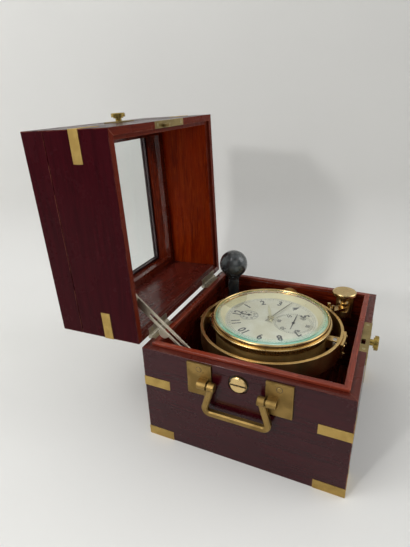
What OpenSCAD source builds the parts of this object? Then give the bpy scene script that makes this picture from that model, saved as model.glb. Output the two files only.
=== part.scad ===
// Boxed marine chronometer: a three-tier hardwood case whose base holds a
// two-axis gimbal, with the bowl, its dial and its going train hung in the ring.
// Millimetres, +Z up. The origin is the centre of the base's underside.
// -Y is the lock side, +Y the hinge side, and the handles are at -X and +X.
// At rest the case stands open, with the glazed lid closed on the middle tier.

/* [Case] */
// Width of the case between the two handle sides
case_w = 190; // [180:1:210]
// Depth of the case from the lock side to the hinge side
case_d = 190; // [180:1:210]
// Height of the base tier without its rim lip
base_h = 103; // [98:1:112]
// Height of the middle tier
tier_h = 66; // [60:1:80]
// Height of the glazed lid tier
lid_h = 24; // [20:1:32]
// Thickness of the base walls
wall_t = 12; // [10:0.5:14]
// Thickness of the middle tier walls
tier_t = 10; // [9:0.5:12]
// Thickness of the bottom board
bottom_t = 8; // [6:0.5:12]
// Gap between two closed tiers
seam = 0.5; // [0.4:0.1:1]
// Angle at which the stay holds the case open
open_angle = 92; // [90:0.5:95]

/* [Rim and lid] */
// Width of the flat rim outside the raised lip
rim_w = 6.6; // [6:0.1:7.5]
// Height of the raised lip that enters the middle tier
lip_h = 3; // [2:0.1:4]
// Width of the flat frame inside the top of the middle tier
frame_w = 9; // [7:0.5:11]
// Thickness of that frame
frame_t = 6; // [4:0.5:8]
// Width of the lid rails
rail_w = 12; // [10.5:0.5:14]
// Thickness of the glass pane
pane_t = 2.8; // [2:0.2:4]
// Width and height of the beads that hold the pane
bead_w = 3; // [2:0.2:4]
// Depth of the outer bead above the pane
bead_out_h = 2; // [1:0.2:3]

/* [Brass straps and hinges] */
// Length of a strap along each side of its corner
strap_len = 27; // [22:1:32]
// Height of a strap
strap_h = 9.8; // [8:0.2:12]
// Thickness of the strap brass
strap_t = 1.6; // [1.2:0.1:2.2]
// How far a strap stands proud of the wood
strap_proud = 0.3; // [0.1:0.1:0.6]
// Distance of the upper base straps below the rim
strap_drop = 31.7; // [23:0.1:43.5]
// Height of the middle tier's straps above the seam
strap_tier_z = 29; // [20:0.5:40]
// Length of a butt hinge
hinge_len = 34; // [28:1:40]
// Distance of a hinge's end from the side of the case
hinge_inset = 18; // [12:1:28]
// Radius of the hinge knuckles
knuckle_r = 2; // [1.8:0.1:2.4]
// Radius of the hinge pins
pin_r = 0.9; // [0.7:0.05:1.1]
// Thickness of the hinge leaves
leaf_t = 1.2; // [0.9:0.1:1.5]

/* [Handles] */
// Width of a handle plate
plate_w = 23; // [20:1:26]
// Height of a handle plate
plate_h = 32.5; // [28:0.5:36]
// Thickness of a handle plate
plate_t = 2; // [1.5:0.1:3]
// Distance of a plate's middle from the middle of the side
plate_y = 36; // [35:0.5:40]
// Distance of the plate's lower edge below the rim
plate_drop = 34; // [31:0.5:39]
// Distance of the bail's hinge line below the rim
bail_rim = 19; // [17:0.5:23]
// Stand-off of the hinge line from the side
bail_off = 6.5; // [6:0.1:8]
// Distance of an eye's middle from the middle of the side
eye_y = 22.4; // [21:0.1:23]
// Drop from the hinge line to the hand bar
bail_drop = 28; // [24:0.5:34]
// Half length of the straight hand bar
bail_half = 24; // [22.5:0.5:26]
// Radius of the bail bar
bail_r = 3; // [2.4:0.1:3.4]

/* [Gimbal] */
// Distance of the gimbal's centre below the rim
gimbal_drop = 14; // [11:0.5:17]
// Outer radius of the gimbal ring
ring_r = 72.3; // [70:0.1:74]
// Thickness of the ring
ring_t = 3; // [2.4:0.1:3.6]
// Height of the ring
ring_h = 19; // [16:0.5:21]
// Radius of the gimbal pivots
pivot_r = 2.5; // [2:0.1:3]
// Radius of the slotted pivot screw heads
head_r = 8.6; // [7.5:0.1:9.5]
// Radius of the flanges on the inside walls
flange_r = 11.5; // [10:0.5:13]

/* [Bowl and dial] */
// Outer radius of the bowl
bowl_r = 56.5; // [56.5:0.1:57.5]
// Wall thickness of the bowl
bowl_t = 2.5; // [2:0.1:2.9]
// Depth of the bowl below the gimbal's centre
bowl_depth = 53; // [51:0.1:53.4]
// Radius of the rounding under the bowl
bowl_round = 24; // [22.5:0.5:24.5]
// How far the bezel stands out from the bowl
bezel_over = 4.4; // [3.9:0.1:5.1]
// Height of the bezel's top above the gimbal's centre
bezel_rise = 19.7; // [19.5:0.1:20.5]
// Width of the reflector round the dial
reflector_w = 7; // [6:0.5:10]
// Height of the dial's face above the gimbal's centre
dial_rise = 12.5; // [12.3:0.1:12.7]
// Thickness of the dial
dial_t = 1; // [0.8:0.1:1.2]
// Thickness of the crystal
crystal_t = 3; // [2.4:0.1:3.2]
// Distance of the two small dials from the dial's centre
small_dial_r = 23.4; // [23:0.1:25]

/* [Going train] */
// Module of the motion work and of the great wheel
module_large = 0.5; // [0.5:0.01:0.52]
// Module of the centre wheel and third wheel
module_mid = 0.45; // [0.44:0.005:0.455]
// Module of the fourth wheel
module_small = 0.4; // [0.39:0.005:0.41]
// Thickness of the train wheels
wheel_t = 1.2; // [0.8:0.1:1.4]
// Radius of the train arbors
arbor_r = 0.9; // [0.8:0.05:0.95]
// Radius of the balance rim
balance_r = 15; // [12:0.5:16]
// Height of the helical balance spring
spring_h = 7; // [5:0.5:8]

/* [Locks, stay and key] */
// Length of the lock and strike plates
lock_len = 54; // [44:1:60]
// Thickness of the lock, strike and latch plates
lock_t = 1.6; // [1.2:0.1:2]
// Distance of the hook from the case's middle
hook_x = 10; // [8:0.5:14]
// Radius of the push buttons
button_r = 7; // [6:0.2:8]
// Travel of the push buttons
button_travel = 2.5; // [1.5:0.1:2.8]
// Width of the stay arm
stay_w = 8.4; // [7.6:0.1:9]
// Length of the stay arm from its pivot to its end
stay_len = 94; // [88:1:96]
// Radius of the black ball grip of the winding key
ball_r = 16.4; // [14:0.1:16.8]
// Height of the ball's middle above the rim
ball_rise = 26; // [23:0.5:28]
// Radius of the gimbal lock's mushroom knob
knob_r = 12.5; // [10:0.5:13.5]
// Height of the gimbal lock knob's top above the rim
knob_rise = 10.7; // [9:0.1:13]

/* [Hidden] */
$fn = 64;

WOOD_OUT = "#4a1c26";
WOOD_IN = "#7a2a12";
BRASS = "#c9a35c";
BRASS_DULL = "#a89252";
BRASS_GREY = "#8b8468";
BLACK = "#33353a";
SILVER = "#d8d6cb";
STEEL = "#20263a";

FRONT = 0;
RIGHT = 1;
BACK = 2;
LEFT = 3;
eps = 0.01;
run_gap = 0.05;
slip_gap = 0.1;
side_gap = 0.3;
mitre_gap = 0.04;
cut_over = 1;

// Case heights and hinge lines, all given with the case closed
tier_z = base_h + seam;
tier_top = tier_z + tier_h;
lid_z = tier_top + seam;
lid_top = lid_z + lid_h;
hinge_x = case_w / 2 - hinge_inset - hinge_len / 2;
hinge_y = case_d / 2 + knuckle_r + slip_gap;
case_hinge_z = base_h + seam / 2;
lid_hinge_z = tier_top + seam / 2;
lip_t = wall_t - rim_w;
rebate_w = rim_w - side_gap;
rebate_h = lip_h + side_gap;
knuckle_count = 5;

// Handle, gimbal and lock places that follow the case
bail_z = base_h - bail_rim;
plate_z = base_h - plate_drop;
strap_z = base_h - strap_drop - strap_h;
gimbal_z = base_h - gimbal_drop;
eye_r = 4.2;
eye_w = 6.4;
boss_r = eye_r - 0.4;
boss_gap = 1.6;
boss_y = eye_y + eye_w / 2 + boss_gap;
boss_w = 8.1;
bail_corner_r = 5;
bail_step = 0.2;
bail_lap = 0.4;
bail_lean = atan((bail_half + bail_corner_r - eye_y) / (bail_drop - bail_corner_r));
bail_leg = (bail_drop - bail_corner_r * (1 + sin(bail_lean))) / cos(bail_lean);
bail_bar_half = eye_y - bail_corner_r * cos(bail_lean) + bail_leg * sin(bail_lean);
screw_proud = 1.6;
flange_t = 2.5;
hub_t = 5;
ring_in = ring_r - ring_t;
ring_boss_r = 6.5;
ring_boss_t = 2.8;
bearing_t = 2.5;
bearing_w = 26;
bearing_h = 15;
lock_x = case_w / 2 - wall_t - 14.6;
lock_y = -(case_d / 2 - wall_t - 20);
lock_angle = atan2(-lock_y, -lock_x);
key_x = case_w / 2 - wall_t - ball_r - 0.8;
key_y = case_d / 2 - wall_t - ball_r - 0.8;
holder_w = 27;
holder_h = 28;
holder_z = base_h - holder_h - 15;
ball_z = base_h + ball_rise;
knob_top = base_h + knob_rise;
shank_r = 4.5;
sleeve_r = 6.5;
button_z = base_h - 5.4;
latch_z = tier_top - 8;
flange_leg = 14;
button_gap = 0.4;

// Stay geometry, with the arm hinged on the middle tier and slotted over the stud
stay_pin_y = case_d / 2 - 41;
stay_pin_z = tier_z + 10;
stud_y = case_d / 2 - 55;
stud_z = base_h - 15;
stay_t = 1.5;
stay_x = -(case_w / 2 - wall_t) + 1.7;
stay_open = opened_point(stay_pin_y, stay_pin_z);
stay_angle = atan2(stud_z - stay_open[1], stud_y - stay_open[0]);

// Bowl, dial and hand levels
bowl_z = gimbal_z - bowl_depth;
bowl_top = gimbal_z + 9;
bezel_top = gimbal_z + bezel_rise;
dial_z = gimbal_z + dial_rise;
bezel_r = bowl_r + bezel_over;
bezel_seat_r = bowl_r - bowl_t;
dial_open_r = bezel_seat_r - reflector_w;
crystal_r = bowl_r - 0.7;
crystal_z = bezel_top - crystal_t - 0.5;
plate_top_z = dial_z - dial_t - 3.5;
plate_r = bowl_r - bowl_t - slip_gap;
pillar_plate_t = 3;
pillar_plate_z = plate_top_z - pillar_plate_t;
pillar_len = 25;
top_plate_t = 3;
top_plate_z = pillar_plate_z - pillar_len - top_plate_t;
top_plate_top = top_plate_z + top_plate_t;
small_hand_z = dial_z + 0.3;
hour_hand_z = dial_z + 1.1;
minute_hand_z = dial_z + 2.1;
hand_t = 0.4;

// Tooth counts of the motion work and of the train
cannon_teeth = 10;
minute_teeth = 30;
minute_pinion_teeth = 8;
hour_teeth = 32;
great_teeth = 90;
centre_pinion_teeth = 12;
centre_teeth = 80;
third_pinion_teeth = 10;
third_teeth = 75;
fourth_pinion_teeth = 10;
fourth_teeth = 80;
escape_pinion_teeth = 10;
escape_teeth = 15;
escape_r = 5.6;

// Arbor places in plan: 12 o'clock is +Y and 6 o'clock is -Y
motion_gap = module_large * (cannon_teeth + minute_teeth) / 2;
minute_wheel_at = [motion_gap, 0];
great_gap = module_large * (great_teeth + centre_pinion_teeth) / 2;
fusee_at = great_gap * [cos(45), sin(45)];
third_gap = module_mid * (centre_teeth + third_pinion_teeth) / 2;
fourth_gap = module_mid * (third_teeth + fourth_pinion_teeth) / 2;
third_y = -(third_gap * third_gap - fourth_gap * fourth_gap + small_dial_r * small_dial_r)
    / (2 * small_dial_r);
third_at = [sqrt(third_gap * third_gap - third_y * third_y), third_y];
fourth_at = [0, -small_dial_r];
escape_gap = module_small * (fourth_teeth + escape_pinion_teeth) / 2;
escape_at = fourth_at + escape_gap * [-cos(35), sin(35)];
roller_r = 3;
balance_at = escape_at + (escape_r + roller_r + 1) * [-1, 0];
barrel_r = 15;
barrel_edge = 6.3;
barrel_at = (plate_r - barrel_r - barrel_edge) * [cos(137.5), sin(137.5)];
reserve_at = [0, small_dial_r];
great_z = pillar_plate_z - 4.5;
centre_z = pillar_plate_z - 2;
third_z = pillar_plate_z - 10;
fourth_z = pillar_plate_z - 16;
escape_z = pillar_plate_z - 22;
fusee_r = 13.5;
fusee_tip_r = 8;
fusee_h = great_z - top_plate_top - 2;
balance_z = top_plate_z - 10;
shutter_t = 1.2;
shutter_r = 8;
wind_hole_r = 3.6;
square_w = 4;
pillar_angles = [0, 92, 190, 245, 295];
pillar_at_r = plate_r - 6.9;
pillar_r = 2.5;

// The time shown is 2:18, seen in the angles of the hands about +Z
minute_angle = -18;
hour_angle = 21;
seconds_angle = 0;
reserve_angle = 94;

// A point of the closed middle tier, as [y, z], after the case has opened
function opened_point(y, z) = let (dy = y - hinge_y, dz = z - case_hinge_z) [
    hinge_y + dy * cos(open_angle) + dz * sin(open_angle),
    case_hinge_z - dy * sin(open_angle) + dz * cos(open_angle)
];

// Length of a side of the case, and half its depth across the other way
function side_run(side) = side % 2 == 0 ? case_w : case_d;
function side_reach(side) = side % 2 == 0 ? case_d / 2 : case_w / 2;

// Places children on a side: x runs along it, +y points inward from its face
module at_side(side) {
    rotate([0, 0, side * 90])
        translate([0, -side_reach(side), 0])
            children();
}

// Turns the +Z axis of children into the inward direction of a side
module inward(side, along, z) {
    at_side(side)
        translate([along, 0, z])
            rotate([-90, 0, 0])
                children();
}

// Places children at each corner, with the case's inside towards +x and +y
module at_corners() {
    for (sx = [-1, 1], sy = [-1, 1])
        translate([sx * case_w / 2, sy * case_d / 2, 0])
            mirror([sx > 0 ? 1 : 0, 0, 0])
                mirror([0, sy > 0 ? 1 : 0, 0])
                    children();
}

// Carries the closed middle tier and lid to their open rest pose
module opened() {
    translate([0, hinge_y, case_hinge_z])
        rotate([-open_angle, 0, 0])
            translate([0, -hinge_y, -case_hinge_z])
                children();
}

// A strip of a side between two depths, with mitred ends that may stop short
module mitred_strip(side, near, far, z, h, short = 0) {
    half_run = side_run(side) / 2 - short;
    at_side(side)
        translate([0, 0, z])
            linear_extrude(h)
                polygon([
                    [near - half_run, near], [half_run - near, near],
                    [half_run - far, far], [far - half_run, far]
                ]);
}

module strap_angles(z) {
    at_corners()
        translate([0, 0, z])
            linear_extrude(strap_h)
                difference() {
                    translate([-strap_proud, -strap_proud])
                        square(strap_len + strap_proud);
                    translate([strap_t - strap_proud, strap_t - strap_proud])
                        square(strap_len);
                }
}

// A leaf plate let into the edge of a board, below or above its hinge line
module leaf_plates(z) {
    for (side = [-1, 1])
        translate([side * hinge_x - hinge_len / 2, case_d / 2 - rim_w + side_gap, z])
            cube([hinge_len, rim_w - side_gap, leaf_t]);
}

// Leaves with the knuckles in the given list; a pin is fixed in them or runs in them
module hinge_leaves(pin_z, above, knuckles, with_pin) {
    plate_base = above ? pin_z + seam / 2 : pin_z - seam / 2 - leaf_t;
    step = hinge_len / knuckle_count;
    leaf_plates(plate_base);
    difference() {
        for (side = [-1, 1], k = knuckles)
            translate([side * hinge_x - hinge_len / 2 + k * step + slip_gap, 0, 0]) {
                translate([0, case_d / 2 - eps, plate_base])
                    cube([step - 2 * slip_gap, hinge_y - case_d / 2, leaf_t]);
                translate([0, hinge_y, pin_z])
                    rotate([0, 90, 0])
                        cylinder(h = step - 2 * slip_gap, r = knuckle_r, $fn = 32);
            }
        if (!with_pin)
            hinge_pins(pin_z, pin_r + run_gap, cut_over);
    }
    if (with_pin)
        hinge_pins(pin_z, pin_r, 0);
}

module hinge_pins(pin_z, r, over) {
    for (side = [-1, 1])
        translate([side * hinge_x - hinge_len / 2 - over, hinge_y, pin_z])
            rotate([0, 90, 0])
                cylinder(h = hinge_len + 2 * over, r = r, $fn = 32);
}

// Base tier

module base_board(side) {
    color(WOOD_OUT)
        difference() {
            mitred_strip(side, 0, wall_t, 0, base_h);
            strap_angles(0);
            strap_angles(strap_z);
            if (side == BACK)
                leaf_plates(base_h - leaf_t);
            if (side == FRONT)
                lock_mortise();
            if (side == LEFT || side == RIGHT)
                pivot_screw_bore(side);
        }
}

module base_front_board() { base_board(FRONT); }
module base_right_board() { base_board(RIGHT); }
module base_back_board() { base_board(BACK); }
module base_left_board() { base_board(LEFT); }

module base_bottom_board() {
    color(WOOD_IN)
        translate([wall_t - case_w / 2, wall_t - case_d / 2, 0])
            cube([case_w - 2 * wall_t, case_d - 2 * wall_t, bottom_t]);
}

module base_rim_lip() {
    color(WOOD_IN)
        for (side = [FRONT, RIGHT, BACK, LEFT])
            mitred_strip(side, rim_w, wall_t, base_h, lip_h, mitre_gap);
}

module base_corner_straps() {
    color(BRASS_DULL) {
        strap_angles(0);
        strap_angles(strap_z);
    }
}

module base_hinge_leaves() {
    color(BRASS_GREY)
        hinge_leaves(case_hinge_z, false, [0, 2, 4], true);
}

// Side handles

module handle_plates() {
    color(BRASS_DULL)
        for (side = [RIGHT, LEFT], end = [-1, 1])
            at_side(side)
                mirror([end > 0 ? 0 : 1, 0, 0]) {
                    translate([plate_y - plate_w / 2, -plate_t, plate_z])
                        cube([plate_w, plate_t, plate_h]);
                    translate([boss_y, -bail_off, bail_z])
                        rotate([0, 90, 0])
                            cylinder(h = boss_w, r = boss_r);
                    translate([boss_y, -bail_off, bail_z - boss_r])
                        cube([boss_w, bail_off, 2 * boss_r]);
                    translate([eye_y - eye_w / 2, -bail_off, bail_z])
                        rotate([0, 90, 0])
                            cylinder(h = boss_y - eye_y + eye_w / 2 + eps, r = 2);
                }
}

// One side of a bail: a corner that runs into the thicker bar and leg, and the eye
module bail_side() {
    translate([bail_bar_half, 0, -bail_drop + bail_corner_r])
        rotate([90, 0, 0])
            rotate([0, 0, -90])
                rotate_extrude(angle = 90 + bail_lean)
                    translate([bail_corner_r, 0])
                        circle(r = bail_r);
    translate([eye_y, 0, 0])
        rotate([0, 180 - bail_lean, 0])
            cylinder(h = bail_leg + bail_lap, r = bail_r + bail_step);
    translate([eye_y - eye_w / 2, 0, 0])
        rotate([0, 90, 0])
            cylinder(h = eye_w, r = eye_r);
}

module handle_bail(side) {
    bar_half = bail_bar_half + bail_lap;
    color(BRASS_DULL)
        at_side(side)
            translate([0, -bail_off, bail_z])
                difference() {
                    union() {
                        bail_side();
                        mirror([1, 0, 0]) bail_side();
                        translate([-bar_half, 0, -bail_drop])
                            rotate([0, 90, 0])
                                cylinder(h = 2 * bar_half, r = bail_r + bail_step);
                    }
                    translate([-eye_y - eye_w, 0, 0])
                        rotate([0, 90, 0])
                            cylinder(h = 2 * (eye_y + eye_w), r = 2 + run_gap);
                }
}

module handle_bail_left() { handle_bail(LEFT); }
module handle_bail_right() { handle_bail(RIGHT); }

// Gimbal pivots in the side walls

module pivot_screw_bore(side) {
    inward(side, 0, gimbal_z) {
        translate([0, 0, -cut_over])
            cylinder(h = wall_t + 2 * cut_over, r = 4 + slip_gap);
        translate([0, 0, -cut_over])
            cylinder(h = cut_over + 1.5, r = head_r + 0.9);
    }
}

module gimbal_pivot_screws() {
    head_t = 3;
    shank_end = wall_t + flange_t + hub_t;
    color(BRASS)
        for (side = [RIGHT, LEFT])
            inward(side, 0, gimbal_z)
                difference() {
                    union() {
                        translate([0, 0, -screw_proud])
                            cylinder(h = head_t, r = head_r);
                        cylinder(h = shank_end, r = 4);
                        cylinder(h = case_w / 2 - ring_r + ring_t + 0.4, r = pivot_r);
                    }
                    rotate([0, 0, 6])
                        translate([-head_r - cut_over, -0.8, -screw_proud - cut_over])
                            cube([2 * (head_r + cut_over), 1.6, cut_over + 1.2]);
                }
}

module gimbal_flanges() {
    color(BRASS)
        for (side = [RIGHT, LEFT])
            inward(side, 0, gimbal_z)
                translate([0, 0, wall_t])
                    difference() {
                        union() {
                            cylinder(h = flange_t, r = flange_r);
                            cylinder(h = flange_t + hub_t, r = 6.5);
                        }
                        translate([0, 0, -cut_over])
                            cylinder(h = flange_t + hub_t + 2 * cut_over, r = 4 + slip_gap);
                    }
}

// Lock side of the base

module lock_mortise() {
    at_side(FRONT) {
        translate([-lock_len / 2, -cut_over, base_h - lock_t])
            cube([lock_len, rim_w + cut_over, lock_t + cut_over]);
        translate([-hook_x - 4.3, 2.4, base_h - 12])
            cube([8.6, 3.8, 12]);
    }
    inward(FRONT, 0, button_z)
        translate([0, 0, -cut_over])
            cylinder(h = cut_over + 9, r = 3.2);
}

module lock_plate() {
    color(BRASS_GREY)
        difference() {
            at_side(FRONT) {
                translate([-lock_len / 2, -1, base_h - lock_t])
                    cube([lock_len, rim_w + 1, lock_t]);
                translate([-lock_len / 2, -1, base_h - flange_leg])
                    cube([lock_len, 1, flange_leg]);
            }
            at_side(FRONT)
                translate([-hook_x - 4.3, 2.4, base_h - lock_t - cut_over])
                    cube([8.6, 3.8, lock_t + 2 * cut_over]);
            inward(FRONT, 0, button_z)
                translate([0, 0, -1 - cut_over])
                    cylinder(h = 1 + 2 * cut_over, r = 3.2);
        }
}

// A stepped push button; z = 0 is the face of the plate that it stands on
module push_button() {
    cylinder(h = 6, r = 3 + run_gap);
    mirror([0, 0, 1]) {
        cylinder(h = button_travel + button_gap + 1, r = 3 + run_gap);
        translate([0, 0, button_travel + button_gap])
            cylinder(h = 1.2, r = button_r - 2);
        translate([0, 0, button_travel + button_gap + 1])
            cylinder(h = 3, r = button_r);
        translate([0, 0, button_travel + button_gap + 4])
            cylinder(h = 0.8, r1 = button_r, r2 = button_r - 0.8);
    }
}

module lock_button() {
    color(BRASS_DULL)
        inward(FRONT, 0, button_z)
            translate([0, 0, -1])
                push_button();
}

// Gimbal lock in the far front corner

module gimbal_lock_bracket() {
    block_r = 6;
    color(BRASS)
        difference() {
            union() {
                translate([lock_x, lock_y - block_r, gimbal_z - 5])
                    cube([case_w / 2 - wall_t - lock_x, 2 * block_r, 6.5]);
                translate([lock_x, lock_y, gimbal_z - 5])
                    cylinder(h = 6.5, r = block_r);
                translate([case_w / 2 - wall_t - 2, lock_y - 9, gimbal_z - 14])
                    cube([2, 18, 24]);
            }
            translate([lock_x, lock_y, gimbal_z - 6])
                cylinder(h = 9, r = 3.15 + run_gap);
        }
}

module gimbal_lock_knob() {
    arm_len = norm([lock_x, lock_y]) - ring_r - 2;
    color(BRASS)
        translate([lock_x, lock_y, 0]) {
            translate([0, 0, gimbal_z - 7.4])
                cylinder(h = knob_top - gimbal_z + 4, r = 3.15);
            translate([0, 0, gimbal_z - 7.4])
                cylinder(h = 2.2, r = 4.6);
            translate([0, 0, gimbal_z + 1.8])
                cylinder(h = 1.4, r = 4.6);
            translate([0, 0, knob_top - 16])
                cylinder(h = 2.4, r = 5);
            translate([0, 0, knob_top - 6.4])
                cylinder(h = 2.9, r1 = 4.2, r2 = 6.4);
            translate([0, 0, knob_top - 3.5])
                cylinder(h = 2.7, r = knob_r);
            translate([0, 0, knob_top - 0.8])
                cylinder(h = 0.8, r1 = knob_r, r2 = knob_r - 0.8);
            rotate([0, 0, lock_angle]) {
                translate([0, -4.5, gimbal_z + 3.2])
                    cube([arm_len - 1.6, 9, 2.8]);
                for (side = [-1, 1])
                    translate([arm_len - 2, side * 3.4, gimbal_z + 3.2])
                        cylinder(h = 9, r = 1.7);
            }
        }
}

// Winding key and the corner block that holds it

module key_holder() {
    color(WOOD_IN)
        difference() {
            translate([case_w / 2 - wall_t - holder_w, case_d / 2 - wall_t - holder_w, holder_z])
                cube([holder_w, holder_w, holder_h]);
            translate([key_x, key_y, holder_z - cut_over])
                cylinder(h = holder_h + 2 * cut_over, r = shank_r + run_gap);
        }
}

module winding_key_grip() {
    sleeve_z = holder_z + holder_h + side_gap;
    color(BLACK)
        translate([key_x, key_y, 0])
            difference() {
                union() {
                    translate([0, 0, ball_z])
                        sphere(r = ball_r);
                    translate([0, 0, sleeve_z])
                        cylinder(h = ball_z - sleeve_z, r = sleeve_r);
                    translate([0, 0, ball_z - ball_r - 2])
                        cylinder(h = 4, r1 = sleeve_r, r2 = sleeve_r + 2.6);
                }
                translate([0, 0, sleeve_z - cut_over])
                    cylinder(h = 20 + cut_over, r = shank_r + run_gap);
            }
}

module winding_key_shank() {
    shank_z = holder_z + 2;
    color(BRASS)
        translate([key_x, key_y, shank_z])
            difference() {
                cylinder(h = holder_h - 2 + side_gap + 20, r = shank_r);
                translate([0, 0, 5 - cut_over])
                    cube([square_w + 0.3, square_w + 0.3, 10 + 2 * cut_over], center = true);
            }
}

// Slotted stay between the base and the middle tier

module stay_stud() {
    color(BRASS_GREY)
        inward(LEFT, -stud_y, stud_z)
            translate([0, 0, wall_t])
                cylinder(h = 1.4, r = 7);
}

module stay_bracket() {
    color(BRASS_GREY)
        opened()
            inward(LEFT, -stay_pin_y, stay_pin_z)
                translate([0, 0, tier_t]) {
                    cylinder(h = case_w / 2 - tier_t + stay_x - slip_gap, r = 5.6);
                    cylinder(h = case_w / 2 - tier_t + stay_x + stay_t + slip_gap, r = 1.8);
                    translate([0, 0, case_w / 2 - tier_t + stay_x + stay_t + slip_gap])
                        cylinder(h = 1.2, r = 3.4);
                }
}

module stay_arm() {
    slot_start = 24;
    slot_half = 2;
    lobe_at = 44;
    color(BRASS_GREY)
        translate([stay_x, stay_open[0], stay_open[1]])
            rotate([stay_angle, 0, 0])
                rotate([90, 0, 90])
                    linear_extrude(stay_t)
                        difference() {
                            union() {
                                circle(r = stay_w / 2);
                                translate([0, -stay_w / 2])
                                    square([stay_len - stay_w / 2, stay_w]);
                                translate([stay_len - stay_w / 2, 0])
                                    circle(r = stay_w / 2);
                                translate([lobe_at, stay_w / 2 + 1.2])
                                    circle(r = 5);
                            }
                            circle(r = 1.8 + run_gap);
                            translate([slot_start, 0])
                                circle(r = slot_half);
                            translate([slot_start, -slot_half])
                                square([stay_len - stay_w - slot_start, 2 * slot_half]);
                            translate([stay_len - stay_w, 0])
                                circle(r = slot_half);
                        }
}

// Middle tier

module tier_board(side) {
    color(WOOD_OUT)
        opened()
            difference() {
                mitred_strip(side, 0, tier_t, tier_z, tier_h);
                mitred_strip(side, rebate_w, tier_t + cut_over, tier_z - cut_over, rebate_h + cut_over);
                strap_angles(tier_z + strap_tier_z);
                if (side == BACK) {
                    leaf_plates(tier_z);
                    leaf_plates(tier_top - leaf_t);
                }
                if (side == FRONT)
                    tier_mortises();
            }
}

module tier_front_board() { tier_board(FRONT); }
module tier_right_board() { tier_board(RIGHT); }
module tier_back_board() { tier_board(BACK); }
module tier_left_board() { tier_board(LEFT); }

module tier_mortises() {
    at_side(FRONT)
        translate([-lock_len / 2, -cut_over, tier_z - cut_over])
            cube([lock_len, rebate_w + cut_over, lock_t + cut_over]);
    inward(FRONT, 0, latch_z)
        translate([0, 0, -cut_over])
            cylinder(h = cut_over + 9, r = 3.2);
}

module tier_inner_frame() {
    color(WOOD_IN)
        opened()
            for (side = [FRONT, RIGHT, BACK, LEFT])
                mitred_strip(side, tier_t, tier_t + frame_w, tier_top - frame_t, frame_t, mitre_gap);
}

module tier_corner_straps() {
    color(BRASS_DULL)
        opened()
            strap_angles(tier_z + strap_tier_z);
}

module tier_hinge_leaves() {
    color(BRASS_GREY)
        opened() {
            hinge_leaves(case_hinge_z, true, [1, 3], false);
            hinge_leaves(lid_hinge_z, false, [0, 2, 4], true);
        }
}

module tier_lock_plates() {
    color(BRASS_GREY)
        opened() {
            at_side(FRONT) {
                translate([-lock_len / 2, 0, tier_z])
                    cube([lock_len, rebate_w, lock_t]);
                translate([-hook_x - 3, 3.1, tier_z - 6.5])
                    cube([6, 2.4, 6.5]);
                translate([-hook_x - 3, 2.7, tier_z - 6.5])
                    cube([6, 0.4 + eps, 2]);
            }
            difference() {
                at_side(FRONT)
                    translate([-lock_len / 4, -1, tier_top - 17])
                        cube([lock_len / 2, 1, 17]);
                inward(FRONT, 0, latch_z)
                    translate([0, 0, -1 - cut_over])
                        cylinder(h = 1 + 2 * cut_over, r = 3.2);
            }
        }
}

module lid_latch_button() {
    color(BRASS_DULL)
        opened()
            inward(FRONT, 0, latch_z)
                translate([0, 0, -1])
                    push_button();
}

// Glazed lid

module lid_rails() {
    color(WOOD_OUT)
        opened()
            for (side = [FRONT, RIGHT, BACK, LEFT])
                difference() {
                    mitred_strip(side, 0, rail_w, lid_z, lid_h, mitre_gap);
                    if (side == BACK)
                        leaf_plates(lid_z);
                }
}

module lid_pane() {
    fit = rail_w + slip_gap;
    color(SILVER, 0.35)
        opened()
            translate([fit - case_w / 2, fit - case_d / 2, lid_top - bead_out_h - pane_t])
                cube([case_w - 2 * fit, case_d - 2 * fit, pane_t]);
}

module lid_beads() {
    color(BLACK)
        opened()
            for (side = [FRONT, RIGHT, BACK, LEFT]) {
                mitred_strip(side, rail_w, rail_w + bead_w, lid_top - bead_out_h, bead_out_h, mitre_gap);
                mitred_strip(side, rail_w, rail_w + bead_w,
                    lid_top - bead_out_h - pane_t - bead_w, bead_w, mitre_gap);
            }
}

module lid_hinge_leaves() {
    color(BRASS_GREY)
        opened()
            hinge_leaves(lid_hinge_z, true, [1, 3], false);
}

// Gimbal ring

module gimbal_ring() {
    color(BRASS)
        difference() {
            union() {
                translate([0, 0, gimbal_z - ring_h / 2])
                    cylinder(h = ring_h, r = ring_r, $fn = 128);
                for (turn = [0, 180])
                    rotate([0, 0, turn])
                        translate([0, 0, gimbal_z])
                            rotate([0, 90, 0])
                                cylinder(h = ring_r + ring_boss_t, r = ring_boss_r);
            }
            translate([0, 0, gimbal_z - ring_h / 2 - cut_over])
                cylinder(h = ring_h + 2 * cut_over, r = ring_in, $fn = 128);
            for (turn = [0, 90])
                rotate([0, 0, turn])
                    translate([-ring_r - 2 * ring_boss_t, 0, gimbal_z])
                        rotate([0, 90, 0])
                            cylinder(h = 2 * ring_r + 4 * ring_boss_t, r = pivot_r + run_gap);
        }
}

module ring_bearing_plates() {
    color(BRASS)
        for (turn = [90, 270])
            rotate([0, 0, turn])
                difference() {
                    intersection() {
                        translate([0, 0, gimbal_z - bearing_h / 2])
                            cylinder(h = bearing_h, r = ring_r + bearing_t, $fn = 128);
                        translate([0, -bearing_w / 2, gimbal_z - bearing_h / 2])
                            cube([ring_r + 2 * bearing_t, bearing_w, bearing_h]);
                    }
                    translate([0, 0, gimbal_z - bearing_h])
                        cylinder(h = 2 * bearing_h, r = ring_r, $fn = 128);
                    translate([0, 0, gimbal_z])
                        rotate([0, 90, 0])
                            cylinder(h = ring_r + 2 * bearing_t, r = pivot_r + run_gap);
                }
}

// Bowl, bezel and dial

// Half section of a round-bottomed bowl between its underside and its rim
module bowl_section(r, base_z, top_z, round_r) {
    steps = 16;
    polygon(concat(
        [[0, top_z], [0, base_z]],
        [for (i = [0 : steps]) let (a = -90 + 90 * i / steps)
            [r - round_r + round_r * cos(a), base_z + round_r + round_r * sin(a)]],
        [[r, top_z]]
    ));
}

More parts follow.
